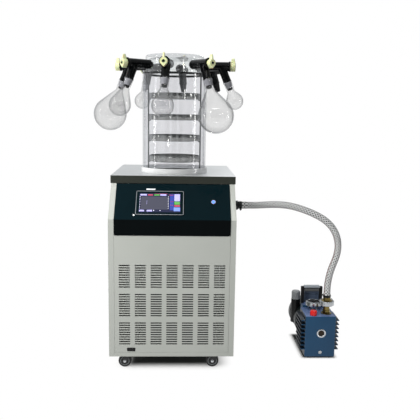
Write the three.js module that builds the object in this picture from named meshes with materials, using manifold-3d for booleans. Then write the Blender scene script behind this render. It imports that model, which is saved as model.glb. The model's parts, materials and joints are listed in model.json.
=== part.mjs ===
// A laboratory freeze dryer with a clear drying chamber, an eight-port flask manifold and its vacuum pump.
// Millimetres. +X is the machine's right, +Y its back and +Z up.
import * as THREE from 'three';
import { mergeGeometries, mergeVertices } from 'three/addons/utils/BufferGeometryUtils.js';
import Module from 'manifold-3d';

const wasm = await Module();
wasm.setup();

// Driving dimensions of the cabinet
const cabinetWidth = 480;
const cabinetDepth = 612;
const wheelRadius = 25;
const casterHeadroom = 10; // from the top of a wheel to the cabinet's lower edge
const cabinetBottom = wheelRadius * 2 + casterHeadroom;
const plateHeight = 749; // top of the steel work plate
const shoulderHeight = plateHeight - 153; // where the upright front meets the sloping fascia
const plateSetback = 116; // front edge of the plate behind the cabinet's front
const plateLip = 30;
const plateThickness = 2;
const plateOverhang = 3;
const plateRearOverhang = 4;
const sheet = 1.5; // folded sheet steel
const gap = 0.3; // clearance between pieces that meet
const returnWidth = 21; // the side panels' flanges on the front and the slope
const railHeight = 16; // the base frame's front and rear rails
const floorThickness = 2;
const floorRise = 6; // the base floor's underside above the skirt's edge

// Driving dimensions of the fascia
const fasciaThickness = 3;
const fasciaDrop = 60; // how far the fascia folds down over the front
const fasciaTopMargin = 3;
const fasciaCorner = 12;
const screenWidth = 181;
const screenHeight = 110;
const screenX = -49.5;
const screenUp = 75; // centre of the screen, up the slope from the fold
const screenRim = 8; // how far the bezel overlaps the cut-out
const screenProud = 4;
const screenDepth = 22; // the display's body behind the fascia
const buttonX = cabinetWidth / 2 - 86;
const buttonUp = 80;
const buttonRadius = 9;
const buttonProud = 6;
const buttonLength = 18;

// Driving dimensions of the louvres
const louvreColumns = 7;
const louvreGroups = 3;
const louvreRows = 10;
const slotWidth = 42;
const slotHeight = 4.6;
const louvreMargin = 17.4; // from the panel's edge to the first column
const groupPitch = 113;
const slotPitch = 9.3;
const louvreTop = shoulderHeight - 173; // top of the highest slot

// Driving dimensions of the chamber
const chamberY = 294; // the chamber's axis behind the cabinet's front
const chamberRadius = 130;
const chamberWall = 6;
const chamberTop = plateHeight + 398;
const gasketHeight = 22;
const gasketSeat = 6; // rubber under the chamber's edge
const gasketReach = 7; // rubber outside the chamber
const drumRadius = chamberRadius - 12;
const drumWall = 10;
const drumTop = chamberTop + 72;
const drumLid = 14;
const drumFlange = 10;
const trapRim = 16; // width of the rim that lies on the plate
const rimClearance = 6; // from the rim to the chamber's gasket
const trapRadius = chamberRadius - chamberWall - gasketReach - rimClearance - trapRim; // bore of the cold trap
const trapLining = 5;
const trapNeckRadius = trapRadius + trapLining;
const trapBodyRadius = trapRadius + 27;
const trapDepth = 235;
const trapFoam = 28;
const rimThickness = 2;
const trapSides = 20; // flats round the trap and the plate's mouth
const chamberSides = 28; // flats round the chamber, its gasket and the drum

// Driving dimensions of the tray rack
const trayClearance = 21; // from a tray to the chamber's inside
const trayRadius = chamberRadius - chamberWall - trayClearance;
const trayHeight = 24;
const trayWall = 1.2;
const trayCorner = 3;
const trayCount = 4;
const trayPitch = 84;
const firstTray = plateHeight + 45; // underside of the lowest tray
const rodRadius = 3;
const rackRingWidth = 10;
const rackRingThickness = 4;
const bracketReach = 10;
const bracketWidth = 14;
const bracketHeight = 7;

// Driving dimensions of the manifold's valves
const portCount = 8;
const firstPort = -54; // degrees from the front towards the right
const portHeight = drumTop - 41;
const spigotRadius = 11;
const spigotDepth = 8;
const valveSides = 10; // flats round a valve's barrel, leg and spigot
const boreSides = 8;
const valveRadius = 18;
const valveLength = 108;
const valveRing = 2.5; // how far the end rings stand proud
const ringLength = 6;
const stemRadius = 8.4;
const stemLength = 56; // past the leg's bore
const legOffset = valveLength - 36; // from the drum's wall to the leg's axis
const legLean = 22.5; // degrees outwards from upright
const legRadius = 16.2;
const legReach = 65; // from the valve's axis to the flask's rim
const plugLength = 35;
const plugTopRadius = legRadius - 0.8;
const plugTipRadius = plugTopRadius - 5;
const legBoreRadius = 6;
const knobRadius = 14;
const knobDepth = 20;
const knobTip = 20;
const finHeight = 35;
const finWidth = 8;
const knobHole = 6;
const knobHoleDepth = 7;

// Driving dimensions of the flasks
const neckLength = 36;
const neckWall = 2.4;
const glassWall = 2;
const neckThroat = 8; // plain neck under the ground joint
const flaskSizes = {
  1000: { radius: 68.5, centre: 146 },
  250: { radius: 43, centre: 109 },
  100: { radius: 35, centre: 82 },
};
const flasks = [
  { name: 'flask_250ml_left', port: 0, size: 250 },
  { name: 'flask_250ml_front', port: 1, size: 250 },
  { name: 'flask_1000ml_right', port: 2, size: 1000 },
  { name: 'flask_100ml_right', port: 3, size: 100 },
  { name: 'flask_100ml_rear', port: 6, size: 100 },
  { name: 'flask_1000ml_left', port: 7, size: 1000 },
];

// Driving dimensions of the casters
const wheelWidth = 20;
const wheelTrail = 12; // the axle behind the swivel
const axleRadius = 3;
const casterInset = 68; // the swivel's axis in from the cabinet's side
const casterSetback = 50;
const casterPlateSize = 56;
const casterPlateThickness = 2.5;
const swivelRadius = 19;
const swivelHeight = 4;
const cheek = 2.5;
const cheekGap = 1.2;
const cheekFoot = 8; // radius of the fork's rounded ends
const pedalX = 10; // the brake pedal's pivot ahead of the swivel
const pedalZ = wheelRadius * 2;
const pedalWidth = 16;
const pedalLength = 34;
const pedalThickness = 3;

// Driving dimensions of what the cabinet holds
const coreWidth = 300;
const coreHeight = 250;
const coreDepth = 50;
const coreY = 40;
const coreX = 20;
const fanRadius = coreHeight / 2 - 25;
const fanDepth = 24;
const shroudDepth = 70;
const ductClearance = 8; // between the blades' tips and the duct
const shroudSize = (fanRadius + ductClearance + 10) * 2;
const strutDepth = 5;
const strutHeight = 24;
const fanMotorLength = 28;
const fanMotorRadius = 24;
const fanShaftRadius = 4;
const fanHubRadius = 22;
const fanBlades = 5;
const bladePitch = 32; // degrees of twist out of the fan's plane
const bladeThickness = 1.6;
const compressorRadius = 82;
const compressorHeight = 205;
const compressorX = -95;
const compressorY = 400;
const inletWidth = 48;
const inletHeight = 27;
const inletDepth = 30;
const inletX = 90 - cabinetWidth / 2;
const inletZ = 150;
const ventSlots = 9;
const ventPitch = 16;
const ventBottom = 300;

// Driving dimensions of the vacuum connection and the pump
const portY = 200;
const vacuumPortZ = plateHeight - 124;
const hoseRadius = 14.5;
const tubeRadius = 13; // the metal tube of both vacuum fittings
const tubeSides = 14;
const clampRadius = 30;
const fittingBore = 9;
const fittingFoot = 8; // how far a fitting's tube goes in behind its flange
const portReach = 57; // how far the fitting stands out of the cabinet's side
const pumpX = cabinetWidth / 2 + 366;
const pumpFront = 118;
const pumpWidth = 125;
const pumpDepth = 122;
const pumpBottom = 8;
const pumpTop = 181;
const finCount = 8;
const coolingFin = 16;
const finPitch = 17.5;
const finThickness = 4;
const intakeX = pumpX + 30;
const intakeY = pumpFront + 42;
const intakeTop = pumpTop + 69;
const motorRadius = 72;
const motorLength = 165;
const motorAxisHeight = 98;
const couplingDepth = 46;
const couplingTop = pumpTop + 9;
const couplingStep = 10; // how much narrower than the oil box, each side
const couplingLift = 12;
const finStart = 28; // the lowest fin above the oil box's underside
const footInset = 18;
const footRadius = 9;
const outletClamp = 14; // the outlet's clamp above the oil box
const outletHeight = 26;
const terminalRise = 46; // the terminal box above the coupling
const capacitorRadius = 20;
const capacitorOffset = 61; // from the motor's axis to the capacitor's
const fillerX = pumpX - 28;
const fillerY = pumpFront + 18;
const fillerBore = 8;
const fillerDepth = 8;
const capRadius = 14;
const capHeight = 20;
const handleWidth = 92;
const handleTop = couplingTop + 74;
const handleBar = 9;
const handlePost = 13;

// The hose's middle line, chosen by hand as fractions of the way from the cabinet's fitting to the pump's.
const hoseRoute = [
  [0, 0, 0],
  [0.1051, -0, -0],
  [0.2099, 0.02, -0.0056],
  [0.315, 0.05, -0.0101],
  [0.4198, 0.098, -0.0093],
  [0.5238, 0.158, 0.0016],
  [0.6259, 0.227, 0.023],
  [0.7254, 0.298, 0.0526],
  [0.8223, 0.367, 0.0886],
  [0.9147, 0.44, 0.1329],
  [0.9979, 0.517, 0.1903],
  [1.062, 0.59, 0.2647],
  [1.1019, 0.66, 0.3517],
  [1.114, 0.72, 0.4457],
  [1.0983, 0.777, 0.5391],
  [1.0644, 0.83, 0.6285],
  [1.031, 0.887, 0.7179],
  [1.0089, 0.945, 0.8102],
  [1, 0.99, 0.905],
  [1, 1, 1],
];

const degrees = Math.PI / 180;
const group = new THREE.Group();

function material(color, roughness, metalness) {
  return new THREE.MeshStandardMaterial({ color, roughness, metalness });
}

const materials = {
  paint: material(0xc9ccc8, 0.45, 0.1),
  steel: material(0xb9bcbf, 0.3, 0.9),
  black: material(0x101316, 0.2, 0.1),
  rubber: material(0x17181a, 0.6, 0),
  silicone: material(0xd8dcda, 0.5, 0),
  acrylic: material(0xdfe8ea, 0.1, 0),
  glass: material(0xe6ecee, 0.08, 0),
  knob: material(0xdfe4b4, 0.4, 0),
  tyre: material(0x1b1c1e, 0.7, 0),
  blue: material(0x2b5278, 0.4, 0.2),
  red: material(0xd62222, 0.4, 0),
  hose: material(0xcdd3d2, 0.3, 0),
  copper: material(0x8d9497, 0.5, 0.6),
};

// Solids

function solid(geometry) {
  const bare = geometry.clone();
  bare.deleteAttribute('normal');
  bare.deleteAttribute('uv');
  const merged = mergeVertices(bare, 1e-4);
  const made = new wasm.Manifold(
    new wasm.Mesh({
      numProp: 3,
      vertProperties: new Float32Array(merged.attributes.position.array),
      triVerts: new Uint32Array(merged.index.array),
    }),
  );
  return made;
}

function geometryOf(made) {
  const mesh = made.getMesh();
  const geometry = new THREE.BufferGeometry();
  geometry.setAttribute('position', new THREE.BufferAttribute(mesh.vertProperties.slice(), 3));
  geometry.setIndex(new THREE.BufferAttribute(mesh.triVerts.slice(), 1));
  return geometry;
}

function join(...geometries) {
  return geometryOf(geometries.map(solid).reduce((whole, piece) => whole.add(piece)));
}

function cut(geometry, ...tools) {
  return geometryOf(tools.map(solid).reduce((whole, tool) => whole.subtract(tool), solid(geometry)));
}

function common(geometry, tool) {
  return geometryOf(solid(geometry).intersect(solid(tool)));
}

function box(x0, x1, y0, y1, z0, z1) {
  const geometry = new THREE.BoxGeometry(x1 - x0, y1 - y0, z1 - z0);
  return geometry.translate((x0 + x1) / 2, (y0 + y1) / 2, (z0 + z1) / 2);
}

// A round bar along Z from z0 to z1, which may taper.
function bar(x, y, z0, z1, radius, segments = 16, topRadius = radius) {
  const geometry = new THREE.CylinderGeometry(topRadius, radius, z1 - z0, segments);
  return geometry.rotateX(Math.PI / 2).translate(x, y, (z0 + z1) / 2);
}

// A profile of [radius, height] pairs turned about the Z axis, bottom first on its outer side.
function turned(profile, segments) {
  const points = profile.map(([radius, height]) => new THREE.Vector2(radius, height));
  return new THREE.LatheGeometry(points, segments).rotateX(Math.PI / 2);
}

// The radius of a faceted hole whose flats clear a shaft that turns in it.
function runningBore(radius, sides) {
  return (radius + gap) / Math.cos(Math.PI / sides);
}

function outline(points) {
  return new THREE.Shape(points.map(([x, y]) => new THREE.Vector2(x, y)));
}

function extruded(shape, depth, curveSegments = 6) {
  return new THREE.ExtrudeGeometry(shape, { depth, bevelEnabled: false, curveSegments });
}

// A section drawn as [y, z] pairs, carried along X from x0 to x1.
function alongX(shape, x0, x1) {
  const turn = new THREE.Matrix4().makeBasis(
    new THREE.Vector3(0, 1, 0),
    new THREE.Vector3(0, 0, 1),
    new THREE.Vector3(1, 0, 0),
  );
  return extruded(shape, x1 - x0).applyMatrix4(turn).translate(x0, 0, 0);
}

// A section drawn as [x, z] pairs, carried along Y from y0 to y1.
function alongY(shape, y0, y1, curveSegments = 6) {
  return extruded(shape, y1 - y0, curveSegments).rotateX(Math.PI / 2).translate(0, y1, 0);
}

function roundedRectangle(width, height, radius) {
  const x = width / 2;
  const y = height / 2;
  const shape = new THREE.Shape();
  shape.moveTo(-x + radius, -y);
  shape.lineTo(x - radius, -y);
  shape.absarc(x - radius, -y + radius, radius, -Math.PI / 2, 0);
  shape.absarc(x - radius, y - radius, radius, 0, Math.PI / 2);
  shape.absarc(-x + radius, y - radius, radius, Math.PI / 2, Math.PI);
  shape.absarc(-x + radius, -y + radius, radius, Math.PI, Math.PI * 1.5);
  return shape;
}

function add(name, geometry, finish, parent = group) {
  const mesh = new THREE.Mesh(geometry, finish);
  mesh.name = name;
  parent.add(mesh);
  return mesh;
}

// Cabinet

const halfWidth = cabinetWidth / 2;
const plateBottom = plateHeight - plateThickness;
const lipBottom = plateHeight - plateLip;
const slopeRise = lipBottom - shoulderHeight;
const slopeLength = Math.hypot(plateSetback, slopeRise);
const slopeAngle = Math.atan2(slopeRise, plateSetback);
const floorBottom = cabinetBottom + floorRise;
const floorTop = floorBottom + floorThickness;
const railTop = cabinetBottom + railHeight;
const openingHalf = halfWidth - returnWidth - gap; // half width of what fits between the returns

// A flat band under the cabinet's front line: up the front, back along the slope, `inset` deep.
function frontBand(inset, outset, bottom, top) {
  const bend = Math.tan(slopeAngle / 2 - Math.PI / 4); // shift of the fold for each unit of offset
  const up = [Math.cos(slopeAngle), Math.sin(slopeAngle)];
  const along = (offset, distance) => [
    up[0] * distance + offset * up[1],
    shoulderHeight + up[1] * distance - offset * up[0],
  ];
  return outline([
    [-outset, bottom],
    [inset, bottom],
    [inset, shoulderHeight + inset * bend],
    along(inset, top),
    along(-outset, top),
    [-outset, shoulderHeight - outset * bend],
  ]);
}

function sidePanel(side) {
  const outer = side * halfWidth;
  const inner = side * (halfWidth - sheet);
  const flange = side * (halfWidth - returnWidth);
  const order = (a, b) => [Math.min(a, b), Math.max(a, b)];
  const behindLip = plateSetback + sheet + gap * 2;
  const wall = outline([
    [0, cabinetBottom],
    [cabinetDepth, cabinetBottom],
    [cabinetDepth, plateBottom - gap],
    [behindLip, plateBottom - gap],
    [behindLip, lipBottom - gap],
    [plateSetback - gap, lipBottom - gap],
    [0, shoulderHeight],
  ]);
  const skin = alongX(wall, ...order(outer, inner));
  const frontReturn = alongX(frontBand(sheet, 0, cabinetBottom, slopeLength - gap * 2), ...order(outer, flange));
  const rear = box(...order(outer, flange), cabinetDepth - sheet, cabinetDepth, cabinetBottom, plateBottom - gap);
  if (side < 0) return join(skin, frontReturn, rear);
  const stub = bar(0, 0, 0, sheet * 4, tubeRadius + gap, tubeSides).rotateY(Math.PI / 2);
  const hole = stub.translate(halfWidth - sheet * 2, portY, vacuumPortZ);
  return cut(join(skin, frontReturn, rear), hole);
}

function baseFrame() {
  const inside = halfWidth - sheet - gap;
  const notch = sheet + gap;
  const floor = outline([
    [-openingHalf, 0],
    [openingHalf, 0],
    [openingHalf, notch],
    [inside, notch],
    [inside, cabinetDepth - notch],
    [openingHalf, cabinetDepth - notch],
    [openingHalf, cabinetDepth],
    [-openingHalf, cabinetDepth],
    [-openingHalf, cabinetDepth - notch],
    [-inside, cabinetDepth - notch],
    [-inside, notch],
    [-openingHalf, notch],
  ]);
  const pieces = [extruded(floor, floorThickness).translate(0, 0, floorBottom)];
  pieces.push(box(-openingHalf, openingHalf, 0, sheet, cabinetBottom, railTop));
  pieces.push(box(-openingHalf, openingHalf, cabinetDepth - sheet, cabinetDepth, cabinetBottom, railTop));
  for (const [x, y] of casterPlaces()) {
    const half = casterPlateSize / 2;
    pieces.push(box(x - half, x + half, y - half, y + half, floorBottom - casterPlateThickness, floorBottom));
  }
  return join(...pieces);
}

function topPlate() {
  const half = halfWidth + plateOverhang;
  const back = cabinetDepth + plateRearOverhang;
  const tray = box(-half, half, plateSetback, back, lipBottom, plateHeight);
  const under = box(-half + sheet, half - sheet, plateSetback + sheet, back - sheet, lipBottom - 1, plateBottom);
  const mouth = bar(0, chamberY, lipBottom, plateHeight + 1, trapNeckRadius + gap, trapSides);
  return cut(tray, under, mouth);
}

function louvrePanel() {
  const top = shoulderHeight - fasciaDrop - gap * 2;
  const half = openingHalf - gap;
  const columnPitch = ((half - louvreMargin) * 2 - slotWidth) / (louvreColumns - 1);
  const slots = [];
  for (let column = 0; column < louvreColumns; column++) {
    const x = (column - (louvreColumns - 1) / 2) * columnPitch;
    for (let row = 0; row < louvreGroups * louvreRows; row++) {
      const drop = Math.floor(row / louvreRows) * groupPitch + (row % louvreRows) * slotPitch;
      const z = louvreTop - drop;
      slots.push(box(x - slotWidth / 2, x + slotWidth / 2, -1, sheet + 1, z - slotHeight, z));
    }
  }
  return cut(box(-half, half, 0, sheet, railTop + gap, top), mergeGeometries(slots));
}

function rearPanel() {
  const half = openingHalf - gap;
  const wall = box(-half, half, cabinetDepth - sheet, cabinetDepth, railTop + gap, plateBottom - gap);
  const tools = [];
  for (let k = 0; k < ventSlots; k++) {
    const z = ventBottom + k * ventPitch;
    tools.push(box(-half / 2, half / 2, cabinetDepth - sheet - 1, cabinetDepth + 1, z, z + slotHeight));
  }
  const width = inletWidth / 2 + gap;
  const height = inletHeight / 2 + gap;
  const [x0, x1] = [inletX - width, inletX + width];
  tools.push(box(x0, x1, cabinetDepth - sheet - 1, cabinetDepth + 1, inletZ - height, inletZ + height));
  return cut(wall, ...tools);
}

// The mains inlet: a body through the rear panel, a flange outside it and the well for the plug.
function mainsInlet() {
  const width = inletWidth / 2;
  const height = inletHeight / 2;
  const face = cabinetDepth + gap;
  const flange = 4;
  const [rimSide, rimEdge] = [5, 3];
  const [wellWidth, wellHeight, wellDepth] = [24, 16, 18];
  const body = box(-width, width, face - inletDepth, face, -height, height);
  const rim = box(-width - rimSide, width + rimSide, face, face + flange, -height - rimEdge, height + rimEdge);
  const [x, z] = [wellWidth / 2, wellHeight / 2];
  const well = box(-x, x, face - wellDepth, face + flange + 1, -z, z);
  return cut(join(body, rim), well).translate(inletX, 0, inletZ);
}

// Fascia. In the slope's own frame x runs right, y up the slope and z out of it.
const slopeFrame = new THREE.Matrix4().makeRotationX(slopeAngle).setPosition(0, 0, shoulderHeight);
const fasciaProud = fasciaThickness / 2;

function controlPanel() {
  const band = frontBand(fasciaProud, fasciaProud, shoulderHeight - fasciaDrop, slopeLength - fasciaTopMargin);
  const folded = alongX(band, -openingHalf, openingHalf);
  const face = new THREE.Shape();
  const bottom = shoulderHeight - fasciaDrop;
  face.moveTo(-openingHalf, plateHeight);
  face.lineTo(-openingHalf, bottom + fasciaCorner);
  face.absarc(-openingHalf + fasciaCorner, bottom + fasciaCorner, fasciaCorner, Math.PI, Math.PI * 1.5);
  face.absarc(openingHalf - fasciaCorner, bottom + fasciaCorner, fasciaCorner, -Math.PI / 2, 0);
  face.lineTo(openingHalf, plateHeight);
  const rounded = common(folded, alongY(face, -20, plateSetback + 20));
  const width = screenWidth / 2 - screenRim;
  const height = screenHeight / 2 - screenRim;
  const window = box(screenX - width, screenX + width, screenUp - height, screenUp + height, -5, 5);
  const hole = bar(buttonX, buttonUp, -5, 5, buttonRadius + gap, 20);
  return cut(rounded, window.applyMatrix4(slopeFrame), hole.applyMatrix4(slopeFrame));
}

function touchscreen() {
  const width = screenWidth / 2 - screenRim - gap;
  const height = screenHeight / 2 - screenRim - gap;
  const base = fasciaProud + gap;
  const top = base + screenProud;
  const corner = 6;
  const [sideBorder, endBorder] = [4, 3];
  const bezel = extruded(roundedRectangle(screenWidth, screenHeight, corner), screenProud, 3);
  const body = box(-width, width, -height, height, -screenDepth, base + 1);
  const viewWidth = width - sideBorder;
  const viewHeight = height - endBorder;
  const recess = box(-viewWidth, viewWidth, -viewHeight, viewHeight, top - 1, top + 1);
  const whole = cut(join(bezel.translate(0, 0, base), body), recess);
  return whole.translate(screenX, screenUp, 0).applyMatrix4(slopeFrame);
}

function powerButton() {
  const top = fasciaProud + buttonProud;
  const edge = 1;
  const cap = turned(
    [
      [0, top - buttonLength],
      [buttonRadius, top - buttonLength],
      [buttonRadius, top - edge],
      [buttonRadius - edge, top],
      [0, top],
    ],
    20,
  );
  return cap.translate(buttonX, buttonUp, 0).applyMatrix4(slopeFrame);
}

// Casters. Front left, front right, rear left and rear right.
function casterPlaces() {
  const x = halfWidth - casterInset;
  return [
    [-x, casterSetback],
    [x, casterSetback],
    [-x, cabinetDepth - casterSetback],
    [x, cabinetDepth - casterSetback],
  ];
}

const swivelTop = floorBottom - casterPlateThickness - gap;
const cheekInner = wheelWidth / 2 + cheekGap;
const cheekOuter = cheekInner + cheek;
const bridgeTop = swivelTop - swivelHeight;
const bridgeBottom = bridgeTop - cheek;

function casterFork() {
  const profile = new THREE.Shape();
  profile.moveTo(swivelRadius, bridgeTop);
  profile.lineTo(-swivelRadius, bridgeTop);
  profile.lineTo(-wheelTrail - cheekFoot, wheelRadius);
  profile.absarc(-wheelTrail, wheelRadius, cheekFoot, Math.PI, Math.PI * 2);
  const solidFork = alongY(profile, -cheekOuter, cheekOuter, 4);
  const wheelRoom = box(-wheelRadius * 3, wheelRadius * 3, -cheekInner, cheekInner, 0, bridgeBottom);
  const cheeks = cut(solidFork, wheelRoom);
  const raceway = bar(0, 0, bridgeTop - cheek, swivelTop, swivelRadius, 14);
  const axleEnd = cheekOuter + 2;
  const axle = bar(0, 0, -axleEnd, axleEnd, axleRadius, 8).rotateX(Math.PI / 2);
  return join(cheeks, raceway, axle.translate(-wheelTrail, 0, wheelRadius));
}

function casterWheel() {
  const half = wheelWidth / 2;
  const bore = axleRadius + gap;
  const chamfer = 3;
  const dish = 1.5;
  const tyreWall = 6;
  const rimRadius = wheelRadius - tyreWall;
  const profile = [
    [bore, -half + dish],
    [rimRadius, -half],
    [wheelRadius - chamfer, -half],
    [wheelRadius, -half + chamfer],
    [wheelRadius, half - chamfer],
    [wheelRadius - chamfer, half],
    [rimRadius, half],
    [bore, half - dish],
    [bore, -half + dish],
  ];
  return turned(profile, 16).rotateX(Math.PI / 2).translate(-wheelTrail, 0, wheelRadius);
}

// A pedal hung on the fork's outer side that is pushed down onto the tyre.
function brakePedal() {
  const front = -cheekOuter - gap;
  const section = outline([
    [-4, -4],
    [5, -3],
    [pedalLength, 4],
    [pedalLength, 4 + pedalThickness],
    [2, 5],
    [-4, 4],
  ]);
  const tread = alongY(section, front - pedalWidth, front);
  return tread.translate(pedalX, 0, pedalZ);
}

// What the cabinet holds

const coreBottom = floorTop + gap;
const fanAxisZ = coreBottom + coreHeight / 2;
const shroudFront = coreY + coreDepth;
const strutY = shroudFront + shroudDepth - strutDepth - 1;
const fanMotorFront = strutY + 1 - fanMotorLength;

// The finned core, the fan's duct behind it and the motor on a strut across the duct.
function condenser() {
  const left = coreX - coreWidth / 2;
  const core = box(left, left + coreWidth, coreY, shroudFront, coreBottom, coreBottom + coreHeight);
  const half = shroudSize / 2;
  const [low, high] = [fanAxisZ - half, fanAxisZ + half];
  const shroud = box(coreX - half, coreX + half, shroudFront - 1, shroudFront + shroudDepth, low, high);
  const duct = bar(0, 0, -2, shroudDepth + 1, fanRadius + ductClearance, 24).rotateX(-Math.PI / 2);
  const hollow = cut(shroud, duct.translate(coreX, shroudFront, fanAxisZ));
  const [x0, x1] = [coreX - half + 2, coreX + half - 2];
  const [z0, z1] = [fanAxisZ - strutHeight / 2, fanAxisZ + strutHeight / 2];
  const strut = box(x0, x1, strutY, strutY + strutDepth, z0, z1);
  const forward = (geometry) => geometry.rotateX(Math.PI / 2).translate(coreX, strutY + 1, fanAxisZ);
  const motor = forward(bar(0, 0, 0, fanMotorLength, fanMotorRadius, 12));
  const shaft = forward(bar(0, 0, 0, fanMotorLength + fanDepth, fanShaftRadius, boreSides));
  return join(core, hollow, strut, motor, shaft);
}

function fan() {
  const hubDepth = fanDepth - 4;
  const chord = fanDepth * 0.7;
  const thick = bladeThickness / 2;
  const pieces = [bar(0, 0, 0, hubDepth, fanHubRadius, 14).rotateX(Math.PI / 2)];
  for (let k = 0; k < fanBlades; k++) {
    const blade = box(fanHubRadius - 4, fanRadius, -thick, thick, -chord, chord).rotateX(bladePitch * degrees);
    pieces.push(blade.translate(0, -hubDepth / 2, 0).rotateY((k * Math.PI * 2) / fanBlades));
  }
  const boreRadius = runningBore(fanShaftRadius, boreSides);
  const bore = bar(0, 0, -1, hubDepth + 1, boreRadius, boreSides).rotateX(Math.PI / 2);
  return cut(join(...pieces), bore).translate(coreX, fanMotorFront - gap, fanAxisZ);
}

// The hermetic compressor: a domed can on four rubber feet.
function compressor() {
  const base = floorTop + gap;
  const top = base + compressorHeight;
  const crown = compressorRadius - 24;
  const [canLift, padHeight, padRadius, padReach] = [12, 34, 11, 50];
  const [domeBottom, domeTop] = [50, 52];
  const can = turned(
    [
      [0, base + canLift],
      [crown, base + canLift + 2],
      [compressorRadius, base + domeBottom],
      [compressorRadius, top - domeTop],
      [crown, top - 12],
      [0, top],
    ],
    16,
  ).translate(compressorX, compressorY, 0);
  const pieces = [can];
  for (const [x, y] of [[-1, -1], [1, -1], [-1, 1], [1, 1]]) {
    const [padX, padY] = [compressorX + x * padReach, compressorY + y * padReach];
    pieces.push(bar(padX, padY, base, base + padHeight, padRadius, 8));
  }
  return join(...pieces);
}

function coldTrap() {
  const rimBottom = plateHeight + gap;
  const rimTop = rimBottom + rimThickness;
  const shelf = plateBottom - gap;
  const wellFloor = plateHeight - trapDepth;
  const corner = 4;
  const profile = [
    [0, wellFloor - trapFoam],
    [trapBodyRadius, wellFloor - trapFoam],
    [trapBodyRadius, shelf],
    [trapNeckRadius, shelf],
    [trapNeckRadius, rimBottom],
    [trapRadius + trapRim, rimBottom],
    [trapRadius + trapRim, rimTop],
    [trapRadius, rimTop],
    [trapRadius, wellFloor + corner],
    [trapRadius - corner, wellFloor],
    [0, wellFloor],
  ];
  return turned(profile, trapSides);
}

// Chamber

const chamberInner = chamberRadius - chamberWall;
const gasketBottom = plateHeight + gap;
const chamberBottom = gasketBottom + gasketSeat + gap;

function baseGasket() {
  const inner = chamberInner - gasketReach;
  const outer = chamberRadius + gasketReach;
  const top = gasketBottom + gasketHeight;
  const seat = gasketBottom + gasketSeat;
  const profile = [
    [inner, gasketBottom],
    [outer, gasketBottom],
    [outer, top],
    [chamberRadius + gap, top],
    [chamberRadius + gap, seat],
    [inner, seat],
    [inner, gasketBottom],
  ];
  return turned(profile, chamberSides);
}

function chamberCylinder() {
  const profile = [
    [chamberInner, chamberBottom],
    [chamberRadius, chamberBottom],
    [chamberRadius, chamberTop],
    [chamberInner, chamberTop],
    [chamberInner, chamberBottom],
  ];
  return turned(profile, chamberSides);
}

// A frame whose x axis points out of the manifold along port `index`, with z up.
function portFrame(index) {
  const angle = (firstPort + index * (360 / portCount) - 90) * degrees;
  return new THREE.Matrix4().makeRotationZ(angle).setPosition(0, 0, portHeight);
}

function manifoldDrum() {
  const bottom = chamberTop + gap;
  const inner = drumRadius - drumWall;
  const profile = [
    [inner, bottom],
    [chamberRadius, bottom],
    [chamberRadius, bottom + drumFlange],
    [drumRadius, bottom + drumFlange],
    [drumRadius, drumTop],
    [0, drumTop],
    [0, drumTop - drumLid],
    [inner, drumTop - drumLid],
    [inner, bottom],
  ];
  const outer = turned(profile, chamberSides);
  const holes = [];
  for (let k = 0; k < portCount; k++) {
    const hole = bar(0, 0, inner - 5, drumRadius + 5, spigotRadius + gap, valveSides).rotateY(Math.PI / 2);
    holes.push(hole.applyMatrix4(portFrame(k)));
  }
  return cut(outer, ...holes);
}

const rackRadius = trayRadius + gap * 2 + rodRadius; // circle through the rods' axes
const rackBottom = plateHeight + gap + rimThickness + gap;

function trayRack() {
  const outer = rackRadius + rodRadius;
  const inner = outer - rackRingWidth;
  const ringTop = rackBottom + rackRingThickness;
  const ring = turned(
    [
      [inner, rackBottom],
      [outer, rackBottom],
      [outer, ringTop],
      [inner, ringTop],
      [inner, rackBottom],
    ],
    18,
  );
  const pieces = [ring];
  const rodTop = chamberTop - gap * 20;
  for (const angle of [0, 180]) {
    const post = [bar(rackRadius, 0, rackBottom + 1, rodTop, rodRadius, 8)];
    for (let k = 0; k < trayCount; k++) {
      const z = firstTray + k * trayPitch - gap;
      const half = bracketWidth / 2;
      post.push(box(rackRadius - bracketReach, rackRadius, -half, half, z - bracketHeight, z));
    }
    pieces.push(...post.map((piece) => piece.rotateZ(angle * degrees)));
  }
  return join(...pieces);
}

function tray(index) {
  const z = firstTray + index * trayPitch;
  const r = trayRadius;
  return turned(
    [
      [0, z],
      [r - trayCorner, z],
      [r, z + trayCorner],
      [r, z + trayHeight],
      [r - trayWall, z + trayHeight],
      [r - trayWall, z + trayCorner],
      [r - trayCorner, z + trayWall],
      [0, z + trayWall],
    ],
    18,
  );
}

// Valves. In a port's frame x runs outwards along the valve and z is up.
const valveStart = drumRadius + gap;
const valveEnd = valveStart + valveLength;
const legX = drumRadius + legOffset;

// Moves a shape turned about +Z so that its z = 0 lies on the valve's axis and it runs down the leg.
function downLeg(geometry) {
  return geometry.rotateY((180 - legLean) * degrees).translate(legX, 0, 0);
}

function valveBody() {
  const along = (geometry) => geometry.rotateY(Math.PI / 2);
  const big = valveRadius + valveRing;
  const barrel = along(
    turned(
      [
        [0, drumRadius - spigotDepth],
        [spigotRadius, drumRadius - spigotDepth],
        [spigotRadius, valveStart],
        [valveRadius, valveStart],
        [valveRadius, valveEnd - ringLength],
        [big, valveEnd - ringLength],
        [big, valveEnd],
        [0, valveEnd],
      ],
      valveSides,
    ),
  );
  const leg = downLeg(
    turned(
      [
        [0, 0],
        [legRadius, 0],
        [legRadius, legReach],
        [plugTopRadius, legReach],
        [plugTipRadius, legReach + plugLength],
        [0, legReach + plugLength],
      ],
      valveSides,
    ),
  );
  const roomRadius = runningBore(stemRadius, boreSides);
  const stemRoom = along(bar(0, 0, valveEnd - stemLength - gap, valveEnd + 1, roomRadius, boreSides));
  const inlet = along(bar(0, 0, 0, valveEnd - stemLength, legBoreRadius, boreSides));
  const legBore = downLeg(bar(0, 0, 0, legReach + plugLength + 1, legBoreRadius, boreSides));
  return cut(join(barrel, leg), stemRoom, inlet, legBore);
}

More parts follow.
